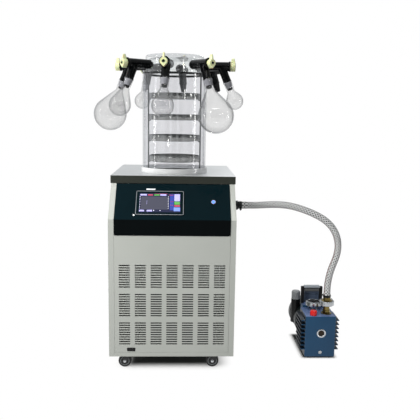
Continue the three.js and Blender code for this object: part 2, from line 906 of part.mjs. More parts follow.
// The knob turns about the valve's axis; its stem is the valve's plug, with a window over the leg.
function valveKnob() {
  const profile = new THREE.Shape();
  const tipAngle = Math.acos(knobRadius / knobTip);
  const finAngle = Math.asin(finWidth / 2 / knobRadius);
  profile.moveTo(0, -knobTip);
  profile.absarc(0, 0, knobRadius, -Math.PI / 2 + tipAngle, Math.PI / 2 - finAngle);
  profile.lineTo(finWidth / 2, finHeight - 2);
  profile.lineTo(finWidth / 4, finHeight);
  profile.lineTo(-finWidth / 4, finHeight);
  profile.lineTo(-finWidth / 2, finHeight - 2);
  profile.absarc(0, 0, knobRadius, Math.PI / 2 + finAngle, Math.PI * 1.5 - tipAngle);
  const inner = valveEnd + gap;
  const grip = alongX(profile, inner, inner + knobDepth);
  const stem = bar(0, 0, valveEnd - stemLength, inner + 1, stemRadius, boreSides).rotateY(Math.PI / 2);
  const well = bar(0, 0, inner + knobDepth - knobHoleDepth, inner + knobDepth + 1, knobHole, boreSides).rotateY(Math.PI / 2);
  return cut(join(grip, stem), well);
}

// A flask in the leg's own frame: z runs down from the valve's axis and the rim sits under the leg.
function flask(size) {
  const { radius, centre } = flaskSizes[size];
  const taper = ((plugTopRadius - plugTipRadius) / plugLength) * neckLength;
  const throat = neckLength + neckThroat;
  const bulbSteps = 4;
  // One side of the glass, from the rim to the bottom: the neck, the shoulder's tangent, then the bulb.
  const wallLine = (neckOffset, bulbOffset) => {
    const neckTop = plugTopRadius + gap + neckOffset;
    const neckEnd = neckTop - taper;
    const bulb = radius - bulbOffset;
    const reach = Math.hypot(neckEnd, centre - throat);
    const start = Math.atan2(neckEnd, centre - throat) + Math.acos(bulb / reach);
    const line = [
      [neckTop, 0],
      [neckEnd, neckLength],
      [neckEnd, throat],
    ];
    for (let k = 0; k <= bulbSteps; k++) {
      const turn = start + ((Math.PI - start) * k) / bulbSteps;
      line.push([k < bulbSteps ? bulb * Math.sin(turn) : 0, centre - bulb * Math.cos(turn)]);
    }
    return line;
  };
  const inside = wallLine(0, glassWall).reverse();
  const outside = wallLine(neckWall, 0);
  return turned([...inside, ...outside], valveSides).translate(0, 0, legReach + gap);
}

// Vacuum connection and pump

// A vacuum fitting along +Z: a base flange, a tube, a clamped joint and the hose's ferrule.
function fitting(foot, reach, clampAt, thickness) {
  const flange = tubeRadius + 9;
  const ferrule = hoseRadius + 1.5;
  const flangeTop = gap + 3;
  const slant = 2;
  const profile = [
    [fittingBore, -foot],
    [tubeRadius, -foot],
    [tubeRadius, gap],
    [flange, gap],
    [flange, flangeTop],
    [tubeRadius, flangeTop],
    [tubeRadius, clampAt],
    [clampRadius, clampAt + slant],
    [clampRadius, clampAt + thickness - slant],
    [ferrule, clampAt + thickness],
    [ferrule, reach],
    [fittingBore, reach],
    [fittingBore, -foot],
  ];
  return turned(profile, tubeSides);
}

function hose() {
  const start = [halfWidth + portReach + gap, portY, vacuumPortZ];
  const end = [intakeX, intakeY, intakeTop + gap];
  const points = hoseRoute.map((way) => {
    const place = way.map((part, axis) => start[axis] + part * (end[axis] - start[axis]));
    return new THREE.Vector3(...place);
  });
  const path = new THREE.CatmullRomCurve3(points, false, 'centripetal');
  const sides = 10;
  const section = [];
  for (let k = 0; k < sides; k++) {
    const angle = (k / sides) * Math.PI * 2;
    section.push([hoseRadius * Math.cos(angle), hoseRadius * Math.sin(angle)]);
  }
  const steps = 24;
  return new THREE.ExtrudeGeometry(outline(section), { steps, extrudePath: path, bevelEnabled: false });
}

const pumpBack = pumpFront + pumpDepth;
const couplingBack = pumpBack + couplingDepth;

// The cast oil box with its cooling fins, the coupling housing behind it and the outlet on top.
function pumpBody() {
  const half = pumpWidth / 2;
  const narrow = half - couplingStep;
  const pieces = [
    box(pumpX - half, pumpX + half, pumpFront, pumpBack, pumpBottom, pumpTop),
    box(pumpX - narrow, pumpX + narrow, pumpBack - 1, couplingBack, pumpBottom + couplingLift, couplingTop),
  ];
  const reach = half + coolingFin;
  for (let k = 0; k < finCount; k++) {
    const z = pumpBottom + finStart + k * finPitch;
    pieces.push(box(pumpX - reach, pumpX + reach, pumpFront + 8, pumpBack - 4, z, z + finThickness));
  }
  for (const x of [-1, 1]) {
    for (const y of [pumpFront + footInset, couplingBack - footInset]) {
      pieces.push(bar(pumpX + x * (narrow - 12), y, 0, pumpBottom + 14, footRadius, 10));
    }
  }
  const outletX = pumpX - 10;
  const outletY = pumpBack - 19;
  pieces.push(bar(outletX, outletY, pumpTop - 1, pumpTop + outletClamp + 4, 15, 16));
  pieces.push(bar(outletX, outletY, pumpTop + outletClamp, pumpTop + outletHeight, clampRadius, 18));
  const fillerHole = bar(fillerX, fillerY, pumpTop - fillerDepth - 4, pumpTop + 1, fillerBore + gap, 14);
  const intakeFloor = pumpTop - fittingFoot - 1;
  const intakeHole = bar(intakeX, intakeY, intakeFloor, pumpTop + 1, tubeRadius + gap, tubeSides);
  return cut(join(...pieces), fillerHole, intakeHole);
}

// The motor with its cowl, terminal box, starting capacitor and rear foot.
function pumpMotor() {
  const start = couplingBack + gap;
  const end = start + motorLength;
  const [cowlStart, cowlEnd, cowlProud] = [motorLength - 40, motorLength - 8, 3];
  const barrel = turned(
    [
      [0, 0],
      [motorRadius, 0],
      [motorRadius, cowlStart],
      [motorRadius + cowlProud, cowlStart],
      [motorRadius + cowlProud, cowlEnd],
      [motorRadius - 6, motorLength],
      [0, motorLength],
    ],
    18,
  );
  const placed = barrel.rotateX(-Math.PI / 2).translate(pumpX, start, motorAxisHeight);
  const [boxLeft, boxRight] = [pumpX - 36, pumpX + 34];
  const [boxBottom, boxTop] = [motorAxisHeight + 40, couplingTop + terminalRise];
  const [footFront, footBack] = [end - 60, end - 36];
  const pieces = [
    placed,
    box(boxLeft, boxRight, start + 4, start + 62, boxBottom, boxTop),
    box(pumpX - 42, pumpX + 42, footFront, footBack, pumpBottom - 1, motorAxisHeight - 30),
    bar(pumpX - capacitorOffset, start + 66, motorAxisHeight - 20, couplingTop + 30, capacitorRadius, 14),
  ];
  for (const side of [-1, 1]) {
    pieces.push(bar(pumpX + side * 32, (footFront + footBack) / 2, 0, pumpBottom + 4, footRadius, 10));
  }
  return join(...pieces);
}

function fillerCap() {
  const spigot = bar(0, 0, -fillerDepth, 1, fillerBore, 14);
  const profile = [
    [0, gap],
    [capRadius - 1, gap],
    [capRadius, 4],
    [capRadius, capHeight - 4],
    [capRadius - 2, capHeight],
    [0, capHeight],
  ];
  return join(spigot, turned(profile, 12)).translate(fillerX, fillerY, pumpTop);
}

function pumpHandle() {
  const half = handleWidth / 2;
  const base = couplingTop + gap;
  const y = couplingBack - 16;
  const room = handleTop - handleBar;
  const [barHalf, gripHalf, gripProud] = [7, 11, 4];
  const arch = box(-half, half, y - barHalf, y + barHalf, base, handleTop);
  const hollow = box(-half + handlePost, half - handlePost, y - barHalf - 1, y + barHalf + 1, base - 1, room);
  const grip = box(-half + 16, half - 16, y - gripHalf, y + gripHalf, room - 1, handleTop + gripProud);
  return join(cut(arch, hollow), grip).translate(pumpX - 10, 0, 0);
}

// Assembly

add('base_frame', baseFrame(), materials.paint);
add('left_side_panel', sidePanel(-1), materials.paint);
add('right_side_panel', sidePanel(1), materials.paint);
add('front_louvre_panel', louvrePanel(), materials.paint);
add('rear_panel', rearPanel(), materials.paint);
add('mains_inlet', mainsInlet(), materials.rubber);
add('top_plate', topPlate(), materials.steel);
add('control_panel', controlPanel(), materials.black);
add('touchscreen', touchscreen(), materials.black);
add('power_button', powerButton(), materials.steel);

casterPlaces().forEach(([x, y], index) => {
  const caster = new THREE.Group();
  caster.position.set(x, y, 0);
  group.add(caster);
  add(`caster_fork_${index + 1}`, casterFork(), materials.steel, caster);
  add(`caster_wheel_${index + 1}`, casterWheel(), materials.tyre, caster);
  if (index === 0) add('caster_brake', brakePedal(), materials.black, caster);
});

add('cold_trap', coldTrap().translate(0, chamberY, 0), materials.steel);
add('compressor', compressor(), materials.black);
add('condenser', condenser(), materials.copper);
add('condenser_fan', fan(), materials.black);

const chamber = new THREE.Group();
chamber.position.set(0, chamberY, 0);
group.add(chamber);
add('base_gasket', baseGasket(), materials.silicone, chamber);
add('chamber_cylinder', chamberCylinder(), materials.acrylic, chamber);
add('manifold_drum', manifoldDrum(), materials.acrylic, chamber);
add('tray_rack', trayRack(), materials.steel, chamber);
for (let k = 0; k < trayCount; k++) add(`tray_${k + 1}`, tray(k), materials.steel, chamber);
for (let k = 0; k < portCount; k++) {
  const frame = portFrame(k);
  add(`valve_body_${k + 1}`, valveBody().applyMatrix4(frame), materials.rubber, chamber);
  add(`valve_knob_${k + 1}`, valveKnob().applyMatrix4(frame), materials.knob, chamber);
}
for (const { name, port, size } of flasks) {
  add(name, downLeg(flask(size)).applyMatrix4(portFrame(port)), materials.glass, chamber);
}

const sidePort = fitting(fittingFoot, portReach, 22, 14).rotateY(Math.PI / 2);
add('vacuum_port', sidePort.translate(halfWidth, portY, vacuumPortZ), materials.steel);
add('vacuum_hose', hose(), materials.hose);
const intake = fitting(fittingFoot, intakeTop - pumpTop, 32, 13);
add('pump_intake', intake.translate(intakeX, intakeY, pumpTop), materials.steel);
add('pump_body', pumpBody(), materials.blue);
add('pump_motor', pumpMotor(), materials.black);
add('pump_filler_cap', fillerCap(), materials.red);
add('pump_handle', pumpHandle(), materials.black);

// The origin is under the middle of the whole, leaving out the hose, which hangs free.
group.updateMatrixWorld(true);
const bounds = new THREE.Box3();
group.traverse((piece) => {
  if (piece.isMesh && piece.name !== 'vacuum_hose') bounds.expandByObject(piece, true);
});
const middle = bounds.getCenter(new THREE.Vector3());
group.position.set(-middle.x, -middle.y, -bounds.min.z);

export default group;
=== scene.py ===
import json
import math

import bmesh
import bpy
from mathutils import Matrix, Vector


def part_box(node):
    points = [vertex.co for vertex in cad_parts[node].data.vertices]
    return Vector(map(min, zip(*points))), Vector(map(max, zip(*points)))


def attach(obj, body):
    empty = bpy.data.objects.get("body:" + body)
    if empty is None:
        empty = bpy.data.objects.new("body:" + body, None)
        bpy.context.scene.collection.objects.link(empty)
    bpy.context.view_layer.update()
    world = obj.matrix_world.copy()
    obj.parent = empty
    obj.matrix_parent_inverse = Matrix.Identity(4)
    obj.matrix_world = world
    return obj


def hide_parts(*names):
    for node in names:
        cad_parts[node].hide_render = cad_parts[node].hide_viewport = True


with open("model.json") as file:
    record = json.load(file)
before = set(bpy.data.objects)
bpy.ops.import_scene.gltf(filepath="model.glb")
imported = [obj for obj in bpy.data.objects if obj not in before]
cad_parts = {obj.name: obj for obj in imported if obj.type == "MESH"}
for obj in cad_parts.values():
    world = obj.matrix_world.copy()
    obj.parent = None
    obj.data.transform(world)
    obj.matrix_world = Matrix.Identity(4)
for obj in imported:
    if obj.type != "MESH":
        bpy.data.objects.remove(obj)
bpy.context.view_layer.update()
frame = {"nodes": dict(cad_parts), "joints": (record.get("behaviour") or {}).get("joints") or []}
nodes = frame["nodes"]
joints = {joint["name"]: joint for joint in frame["joints"]}
print("frame loaded with", len(nodes), "nodes")

mm = 0.001
quarter = math.pi / 2

# Places on the cabinet are in millimetres from the middle of its front, at floor level.
plateLow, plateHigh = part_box("top_plate")
home = Vector(((plateLow.x + plateHigh.x) / 2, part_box("left_side_panel")[0].y, 0))


def at(x, y, z=0):
    return Matrix.Translation(home + Vector((x, y, z)) * mm)


# Modelling

def clearSelection():
    if bpy.context.mode != "OBJECT":
        bpy.ops.object.mode_set(mode="OBJECT")
    bpy.ops.object.select_all(action="DESELECT")


def takeUp(piece):
    clearSelection()
    piece.select_set(True)
    bpy.context.view_layer.objects.active = piece
    return piece


def rename(piece, name):
    piece.name = piece.data.name = name
    return piece


def editFaces(piece, test):
    # opens the piece and selects the faces whose centre, in mm, and normal pass the test
    takeUp(piece)
    bpy.ops.object.mode_set(mode="EDIT")
    bpy.ops.mesh.select_mode(type="FACE")
    bpy.ops.mesh.select_all(action="DESELECT")
    mesh = bmesh.from_edit_mesh(piece.data)
    for face in mesh.faces:
        if test(face.calc_center_median() / mm, face.normal):
            face.select_set(True)
    bmesh.update_edit_mesh(piece.data)


def closeEdit(piece):
    bpy.ops.object.mode_set(mode="OBJECT")
    return piece


def upperFace(point, normal):
    return normal.z > 0.9


def lift(height):
    # extrudes the selected faces along Z
    bpy.ops.mesh.extrude_region_move(TRANSFORM_OT_translate={"value": (0, 0, height * mm)})


def recess(piece, border, depth):
    # a border round the upper face, and the rest of it sunk
    editFaces(piece, upperFace)
    bpy.ops.mesh.inset(thickness=border * mm)
    if depth:
        lift(-depth)
    return closeEdit(piece)


def cutAcross(piece, point, normal):
    # new edges all round the piece, where the plane crosses it
    takeUp(piece)
    bpy.ops.object.mode_set(mode="EDIT")
    bpy.ops.mesh.select_all(action="SELECT")
    bpy.ops.mesh.bisect(plane_co=Vector(point) * mm, plane_no=normal)
    return closeEdit(piece)


def narrowed(piece, test, share, centre):
    # the faces that pass the test, drawn in towards the centre
    editFaces(piece, test)
    bpy.ops.transform.resize(value=share, center_override=Vector(centre) * mm)
    return closeEdit(piece)


def turned(name, profile, steps=64):
    # a profile of (radius, height) in mm, drawn out point by point and spun about Z
    clearSelection()
    bpy.ops.mesh.primitive_plane_add(size=mm)
    piece = rename(bpy.context.active_object, name)
    points = [Vector((radius, 0, height)) * mm for radius, height in profile]
    bpy.ops.object.mode_set(mode="EDIT")
    bpy.ops.mesh.select_mode(type="VERT")
    bpy.ops.mesh.merge(type="CENTER")
    bpy.ops.transform.translate(value=points[0])
    for before, after in zip(points, points[1:]):
        bpy.ops.mesh.extrude_region_move(TRANSFORM_OT_translate={"value": after - before})
    bpy.ops.mesh.select_all(action="SELECT")
    bpy.ops.mesh.spin(steps=steps, angle=math.tau, center=(0, 0, 0), axis=(0, 0, 1))
    bpy.ops.mesh.select_all(action="SELECT")
    bpy.ops.mesh.remove_doubles(threshold=0.002 * mm)
    bpy.ops.mesh.normals_make_consistent(inside=False)
    return closeEdit(piece)


def rounded(profile, radius, closed=False):
    # the profile with its inner corners rounded, four points to a corner
    points = [Vector(point) for point in profile]
    out = []
    for k, here in enumerate(points):
        if not closed and k in (0, len(points) - 1):
            out.append(here)
            continue
        before, after = points[k - 1], points[(k + 1) % len(points)]
        reach = min(radius, (here - before).length * 0.45, (after - here).length * 0.45)
        start = here + (before - here).normalized() * reach
        end = here + (after - here).normalized() * reach
        for part in (0, 1 / 3, 2 / 3, 1):
            out.append(start * (1 - part) ** 2 + here * 2 * part * (1 - part) + end * part**2)
    if closed:
        out.append(out[0])
    return [tuple(point) for point in out]


def ringOf(name, profile, radius, steps=56):
    # a closed profile with rounded corners, turned to a ring
    return turned(name, rounded(profile, radius, True), steps)


def block(name, low, high):
    clearSelection()
    low, high = Vector(low) * mm, Vector(high) * mm
    bpy.ops.mesh.primitive_cube_add(size=1, location=(low + high) / 2, scale=high - low)
    bpy.ops.object.transform_apply()
    return rename(bpy.context.active_object, name)


def rod(name, start, end, radius, sides=32):
    clearSelection()
    start, end = Vector(start) * mm, Vector(end) * mm
    along = end - start
    bpy.ops.mesh.primitive_cylinder_add(
        vertices=sides, radius=radius * mm, depth=along.length, location=(start + end) / 2,
        rotation=along.to_track_quat("Z", "Y").to_euler(),
    )
    bpy.ops.object.transform_apply()
    return rename(bpy.context.active_object, name)


def rodX(name, start, end, radius, sides=32):
    return rod(name, (start, 0, 0), (end, 0, 0), radius, sides)


def place(piece, matrix):
    takeUp(piece)
    piece.matrix_world = matrix
    bpy.context.view_layer.update()
    bpy.ops.object.transform_apply()
    return piece


def copyOf(piece, name, matrix):
    twin = piece.copy()
    twin.data = piece.data.copy()
    bpy.context.scene.collection.objects.link(twin)
    return place(rename(twin, name), matrix)


def discard(*pieces):
    for piece in pieces:
        bpy.data.objects.remove(piece, do_unlink=True)


def join(name, *pieces):
    takeUp(pieces[0])
    for piece in pieces[1:]:
        piece.select_set(True)
    bpy.ops.object.join()
    return rename(bpy.context.active_object, name)


def useModifier(piece, kind, **settings):
    takeUp(piece)
    modifier = piece.modifiers.new(kind.lower(), kind)
    for key, value in settings.items():
        setattr(modifier, key, value)
    bpy.ops.object.modifier_apply(modifier=modifier.name)
    return piece


def roundEdges(piece, width, segments=3):
    return useModifier(
        piece, "BEVEL", width=width * mm, segments=segments, limit_method="ANGLE", angle_limit=math.radians(30),
        harden_normals=False,
    )


def unite(piece, other):
    useModifier(piece, "BOOLEAN", object=other, operation="UNION", solver="EXACT")
    discard(other)
    return piece


def carve(piece, *tools):
    for tool in tools:
        useModifier(piece, "BOOLEAN", object=tool, operation="DIFFERENCE", solver="EXACT")
    discard(*tools)
    return piece


def smooth(piece, angle=35):
    takeUp(piece)
    bpy.ops.object.shade_smooth_by_angle(angle=math.radians(angle))
    return piece


def dress(piece, material):
    piece.data.materials.clear()
    piece.data.materials.append(material)
    return piece


def dressFaces(piece, material, test):
    # gives the faces that pass the test a second material
    piece.data.materials.append(material)
    editFaces(piece, test)
    piece.active_material_index = len(piece.data.materials) - 1
    bpy.ops.object.material_slot_assign()
    return closeEdit(piece)


def hand(piece, slotName, *replaced, body="cabinet"):
    # the finished piece rides on its body and stands for the nodes it replaces
    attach(piece, body)
    if replaced:
        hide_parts(*replaced)


def fit(piece, matrix, material, slotName, *replaced, body="cabinet"):
    # a finished shape, smoothed, in its place and in its material
    hand(dress(place(smooth(piece), matrix), material), slotName, *replaced, body=body)


def turnedPart(name, profile, radius, steps, matrix, material, slotName, *replaced, closed=True):
    fit(turned(name, rounded(profile, radius, closed), steps), matrix, material, slotName, *replaced)


def keep(material, width, *names, segments=2):
    # nodes from the frame keep their meshes; live modifiers weld them and break their edges
    for name in names:
        node = dress(nodes[name], material)
        node.modifiers.new("weld", "WELD").merge_threshold = 0.005 * mm
        edge = node.modifiers.new("edge", "BEVEL")
        edge.width, edge.segments = width * mm, segments
        edge.limit_method, edge.angle_limit = "ANGLE", math.radians(30)


def softRectangle(width, height, corner, steps=4):
    points = []
    for turn, (x, y) in enumerate(((1, 1), (-1, 1), (-1, -1), (1, -1))):
        for k in range(steps + 1):
            angle = quarter * (turn + k / steps)
            arm = Vector((math.cos(angle), math.sin(angle))) * corner
            points.append((x * (width / 2 - corner) + arm.x, y * (height / 2 - corner) + arm.y))
    return points


def slab(name, outline, low, high):
    # a flat outline in mm, filled and extruded along Z from low to high
    clearSelection()
    bpy.ops.mesh.primitive_circle_add(vertices=len(outline), radius=mm, fill_type="NGON")
    piece = rename(bpy.context.active_object, name)
    bpy.ops.object.mode_set(mode="EDIT")
    mesh = bmesh.from_edit_mesh(piece.data)
    for vert, (x, y) in zip(mesh.verts, outline):
        vert.co = Vector((x, y, low)) * mm
    bmesh.update_edit_mesh(piece.data)
    bpy.ops.mesh.select_all(action="SELECT")
    lift(high - low)
    bpy.ops.mesh.select_all(action="SELECT")
    bpy.ops.mesh.normals_make_consistent(inside=False)
    return closeEdit(piece)


# Material building

def linear(code):
    # an sRGB hex colour as the linear values that the shader wants
    channels = [int(code[k : k + 2], 16) / 255 for k in (1, 3, 5)]
    return tuple(c / 12.92 if c <= 0.04045 else ((c + 0.055) / 1.055) ** 2.4 for c in channels) + (1.0,)


def connect(node, links):
    # an input takes a socket, the first output in use of a node, or a constant
    for key, value in links.items():
        if isinstance(value, bpy.types.Node):
            value = next(output for output in value.outputs if output.enabled)
        if isinstance(value, bpy.types.NodeSocket):
            node.id_data.links.new(value, node.inputs[key])
        else:
            node.inputs[key].default_value = value
    return node


def addNode(tree, kind, links=None, **settings):
    node = tree.nodes.new("ShaderNode" + kind)
    for key, value in settings.items():
        setattr(node, key, value)
    return connect(node, links or {})


def newMaterial(name, colour, roughness, metallic=0.0, **more):
    material = bpy.data.materials.new(name)
    material.use_nodes = True
    shader = material.node_tree.nodes["Principled BSDF"]
    connect(shader, {"Base Color": linear(colour), "Roughness": roughness, "Metallic": metallic})
    connect(shader, {key.replace("_", " "): value for key, value in more.items()})
    return material, material.node_tree, shader


def finish(
    name, colour, second, roughness, grain, strength=0.3, depth=0.05, metallic=0.0, blotch=90, stretch=(1, 1, 1), **more
):
    # a finish with soft blotches of a second colour, and a grain that drives its gloss and its relief; sizes in mm
    material, tree, shader = newMaterial(name, colour, roughness[0], metallic, **more)
    coords = addNode(tree, "TexCoord").outputs["Object"]
    mapping = addNode(tree, "Mapping", {"Vector": coords, "Scale": stretch})
    grit = addNode(tree, "TexNoise", {"Vector": mapping, "Scale": 1 / (grain * mm), "Detail": 3.0})
    patches = addNode(tree, "TexNoise", {"Vector": coords, "Scale": 1 / (blotch * mm), "Detail": 2.0})
    gloss = {"Value": grit, "From Min": 0.3, "From Max": 0.7, "To Min": roughness[0], "To Max": roughness[1]}
    connect(shader, {
        "Base Color": addNode(tree, "Mix", {0: patches, 6: linear(colour), 7: linear(second)}, data_type="RGBA"),
        "Roughness": addNode(tree, "MapRange", gloss),
        "Normal": addNode(tree, "Bump", {"Height": grit, "Strength": strength, "Distance": depth * mm}),
    })
    return material


def clearFinish(name, tint, through, roughness, falloff, veil, rim, ior, waver, strength):
    # a clear wall that darkens to its own tint and mirrors more where it is seen edge on
    material, tree, shader = newMaterial(name, tint, roughness)
    facing = addNode(tree, "LayerWeight", {"Blend": 0.5}).outputs["Facing"]
    edge = addNode(tree, "Math", {0: facing, 1: falloff}, operation="POWER")
    grazing = addNode(tree, "Math", {0: facing, 1: 5.0}, operation="POWER")
    bare = ((ior - 1) / (ior + 1)) ** 2  # what a surface seen face on gives back
    coords = addNode(tree, "TexCoord").outputs["Object"]
    waves = addNode(tree, "TexNoise", {"Vector": coords, "Scale": 1 / (waver * mm), "Detail": 1.0})
    relief = addNode(tree, "Bump", {"Height": waves, "Strength": strength, "Distance": 0.4 * mm})
    connect(shader, {"Normal": relief})
    mirror = addNode(tree, "BsdfGlossy", {"Color": linear("#ffffff"), "Roughness": roughness, "Normal": relief})
    clear = addNode(tree, "BsdfTransparent", {"Color": linear(through)})
    cover = addNode(tree, "MapRange", {"Value": edge, "To Min": veil, "To Max": rim})
    glint = addNode(tree, "MapRange", {"Value": grazing, "To Min": bare, "To Max": 0.7})
    body = addNode(tree, "MixShader", {0: cover, 1: clear, 2: shader})
    whole = addNode(tree, "MixShader", {0: glint, 1: body, 2: mirror})
    connect(tree.nodes["Material Output"], {"Surface": whole})
    return material


def recolour(material, share, colour, instead=True):
    # a second colour where the share is one or, if not instead, where it is zero
    shader = material.node_tree.nodes["Principled BSDF"]
    base = shader.inputs["Base Color"].links[0].from_socket
    low, high = (base, linear(colour)) if instead else (linear(colour), base)
    connect(shader, {"Base Color": addNode(material.node_tree, "Mix", {0: share, 6: low, 7: high}, data_type="RGBA")})


# Camera

camera = {"place": (39.1, -2188.0, 986.05), "down": 0.1587, "right": 0.0457, "roll": 0.0171, "lens": 51.0}

clearSelection()
bpy.ops.object.camera_add(location=at(*camera["place"]).translation)
eye = bpy.context.active_object
eye.name = "camera"
eye.data.lens = camera["lens"]
eye.data.sensor_width = 36
eye.rotation_euler = (
    Matrix.Rotation(-camera["right"], 3, "Z")
    @ Matrix.Rotation(quarter - camera["down"], 3, "X")
    @ Matrix.Rotation(camera["roll"], 3, "Z")
).to_euler()
bpy.context.scene.camera = eye
print("camera set")

# Vacuum hose

hose = {
    "radius": 14.1, "diameter": 29, "length": 0.676,
    "braid": 13.0,  # pitch of the yarns, drawn coarser than the real 2 mm so that it shows
    "tracer": (0.62, 0.012),  # where round the hose a red thread runs, and half its width
}


def braidedHose(name, length):
    # clear PVC hose: glossy, greyed by the wall, with crossed white yarns inside and a thin red tracer
    material, tree, shader = newMaterial(name, "#b9bcbc", 0.22, IOR=1.53, Coat_Weight=0.5, Coat_Roughness=0.1)
    coords = addNode(tree, "TexCoord").outputs["UV"]
    yarns, girth, fine = [], math.tau * hose["radius"], 0.628 / hose["braid"]
    for side in (1, -1):
        mapping = addNode(tree, "Mapping", {"Vector": coords, "Scale": (length / mm, girth * side, 0)})
        wave = {"wave_type": "BANDS", "bands_direction": "DIAGONAL", "wave_profile": "SIN"}
        yarns.append(addNode(tree, "TexWave", {"Vector": mapping, "Scale": fine}, **wave).outputs["Fac"])
    net = addNode(tree, "Math", {0: yarns[0], 1: yarns[1]}, operation="MAXIMUM")
    sharp = addNode(tree, "MapRange", {"Value": net, "From Min": 0.5, "From Max": 0.88})
    wall = addNode(tree, "Mix", {0: sharp, 6: linear("#232727"), 7: linear("#dcdddd")}, data_type="RGBA")
    connect(shader, {
        "Base Color": wall, "Normal": addNode(tree, "Bump", {"Height": sharp, "Strength": 0.25, "Distance": 0.3 * mm}),
    })
    split = addNode(tree, "SeparateXYZ", {"Vector": coords})
    where, half = hose["tracer"]
    thread = addNode(tree, "Math", {0: split.outputs["Y"], 1: where, 2: half}, operation="COMPARE")
    recolour(material, thread, "#9c5654")
    facing = addNode(tree, "LayerWeight", {"Blend": 0.5})
    depth = addNode(tree, "Math", {0: facing.outputs["Facing"], 1: 1.4}, operation="POWER")
    recolour(material, depth, "#303434")  # darker where the hose is seen edge on: partly the clear wall's depth, partly painted edge shade
    return material


def tubeAlong(name, route, radius):
    clearSelection()
    bpy.ops.curve.primitive_bezier_curve_add()
    tube = rename(bpy.context.active_object, name)
    spline = tube.data.splines[0]
    spline.bezier_points.add(len(route) - 2)
    for knot, point in zip(spline.bezier_points, route):
        knot.co = point
        knot.handle_left_type = knot.handle_right_type = "AUTO"
    tube.data.resolution_u = tube.data.bevel_resolution = 8
    tube.data.bevel_depth = radius * mm
    place(tube, Matrix.Identity(4))
    bpy.ops.object.convert(target="MESH")
    return smooth(tube, 60)


def middleLine(node):
    # the middles of a cord's rings, found by walking its mesh from the end face at its lowest X
    beside = {}
    for face in node.data.polygons:
        corners = {tuple(round(value, 5) for value in node.data.vertices[k].co) for k in face.vertices}
        for corner in corners:
            beside.setdefault(corner, set()).update(corners)
    first = min(corner[0] for corner in beside)
    ring = {corner for corner in beside if corner[0] < first + mm}
    seen, middles = set(), []
    while ring:
        middles.append(sum((Vector(corner) for corner in ring), Vector()) / len(ring))
        seen |= ring
        ring = {corner for here in ring for corner in beside[here]} - seen
    return middles


route = middleLine(nodes["vacuum_hose"])
hoseTube = dress(tubeAlong("braided_hose", route, hose["radius"]), braidedHose("clearBraidedPvc", hose["length"]))
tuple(route[0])
hand(hoseTube, "hose_pvc", "vacuum_hose")
print("hose laid")

# Floor and light

stage = {  # away from what stands on it the floor is lit from below, like a light table
    # lit and under: how far out, in metres, the glow fades in and the painted shadow fades out
    "radius": 5.0, "bounce": 0.5, "floor": "#fbfbfa", "lit": (0.0, 0.1), "under": (0.0, 0.06), "drop": -0.0008,
    "footprints": (("base_frame", 0.09, 0.0, 1.0), ("pump_body", 0.02, 0.06, 3.6)),  # node, inset, shift back, stretch
}

clearSelection()
bpy.ops.mesh.primitive_circle_add(
    vertices=96, radius=stage["radius"], fill_type="NGON", location=(0, 0, stage["drop"])
)
floor = rename(bpy.context.active_object, "floor")
floorPaint = finish(  # matt white studio paint, slightly uneven
    "paintedFloor", stage["floor"], "#f8f8f6", (0.8, 0.9), grain=6, depth=0.1, blotch=700
)
tree = floorPaint.node_tree
coords = addNode(tree, "TexCoord").outputs["Object"]
aways = []
for node, inset, back, stretch in stage["footprints"]:  # how far a point of the floor is from each footprint
    low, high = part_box(node)
    middle, half = (low + high) / 2, (high - low) / 2
    offset = addNode(tree, "VectorMath", {0: coords, 1: (middle.x, middle.y + back, 0)}, operation="SUBTRACT")
    folded = addNode(tree, "VectorMath", {0: offset}, operation="ABSOLUTE")
    past = addNode(
        tree, "VectorMath", {0: folded, 1: (half.x - inset, half.y - inset + back, 1)}, operation="SUBTRACT"
    )
    outside = addNode(tree, "VectorMath", {0: past, 1: (0, 0, 0)}, operation="MAXIMUM")
    span = addNode(tree, "VectorMath", {0: outside}, operation="LENGTH")
    aways.append(addNode(tree, "Math", {0: span, 1: stretch}, operation="MULTIPLY"))
nearest = addNode(tree, "Math", {0: aways[0], 1: aways[1]}, operation="MINIMUM")
away, under = (
    addNode(
        tree, "MapRange", {"Value": nearest, "From Min": stage[key][0], "From Max": stage[key][1]},
        interpolation_type="SMOOTHSTEP",
    )
    for key in ("lit", "under")
)
recolour(floorPaint, under, "#3c403e", instead=False)  # painted shadow: the floor is coloured dark grey under the cabinet and the pump, fading out near their edges
path = addNode(tree, "LightPath").outputs
glow = addNode(  # the table is bright to look at, but lights its surroundings less
    tree, "MapRange", {"Value": path["Is Diffuse Ray"], "To Min": 1.0, "To Max": stage["bounce"]}
)
table = addNode(tree, "Emission", {"Color": linear("#ffffff"), "Strength": glow})
blend = addNode(tree, "MixShader", {0: away, 1: tree.nodes["Principled BSDF"], 2: table})
connect(tree.nodes["Material Output"], {"Surface": blend})
dress(floor, floorPaint)

lamps = {  # soft boxes: place and aim in metres from the cabinet's front, length and width, power, seen in gloss or not
    "ceilingBox": ((-1.5, -0.2, 4.0), (0.1, 0.0, 0.0), (5.5, 6.5), 212, False),
    "keyBox": ((-1.5, -1.2, 1.3), (-0.1, 0.1, 0.6), (1.2, 1.2), 41, False),
    "fillBox": ((2.1, -1.2, 1.5), (0.1, 0.2, 0.6), (1.2, 1.2), 1, False),
    "stripTop": ((0.0, -1.5, 2.6), (0.0, 0.2, 1.0), (1.8, 0.14), 6, True),
    "stripLeft": ((-2.4, -0.3, 1.3), (0.0, 0.2, 1.0), (0.16, 1.4), 7, True),
    "stripRight": ((2.6, -0.2, 1.3), (0.0, 0.2, 1.0), (0.16, 1.4), 7, True),
    "glintLeft": ((-1.3, -1.5, 1.9), (0.0, 0.2, 1.0), (0.16, 0.16), 2.2, True),
    "glintRight": ((1.5, -1.7, 1.4), (0.2, 0.2, 0.9), (0.16, 0.16), 1.2, True),
    "glintLow": ((-0.8, -1.9, 0.6), (0.0, 0.2, 1.0), (0.12, 0.12), 1.0, True),
    "glintBack": ((0.5, 2.2, 1.9), (0.0, 0.2, 1.0), (0.14, 0.14), 2.0, True),
}
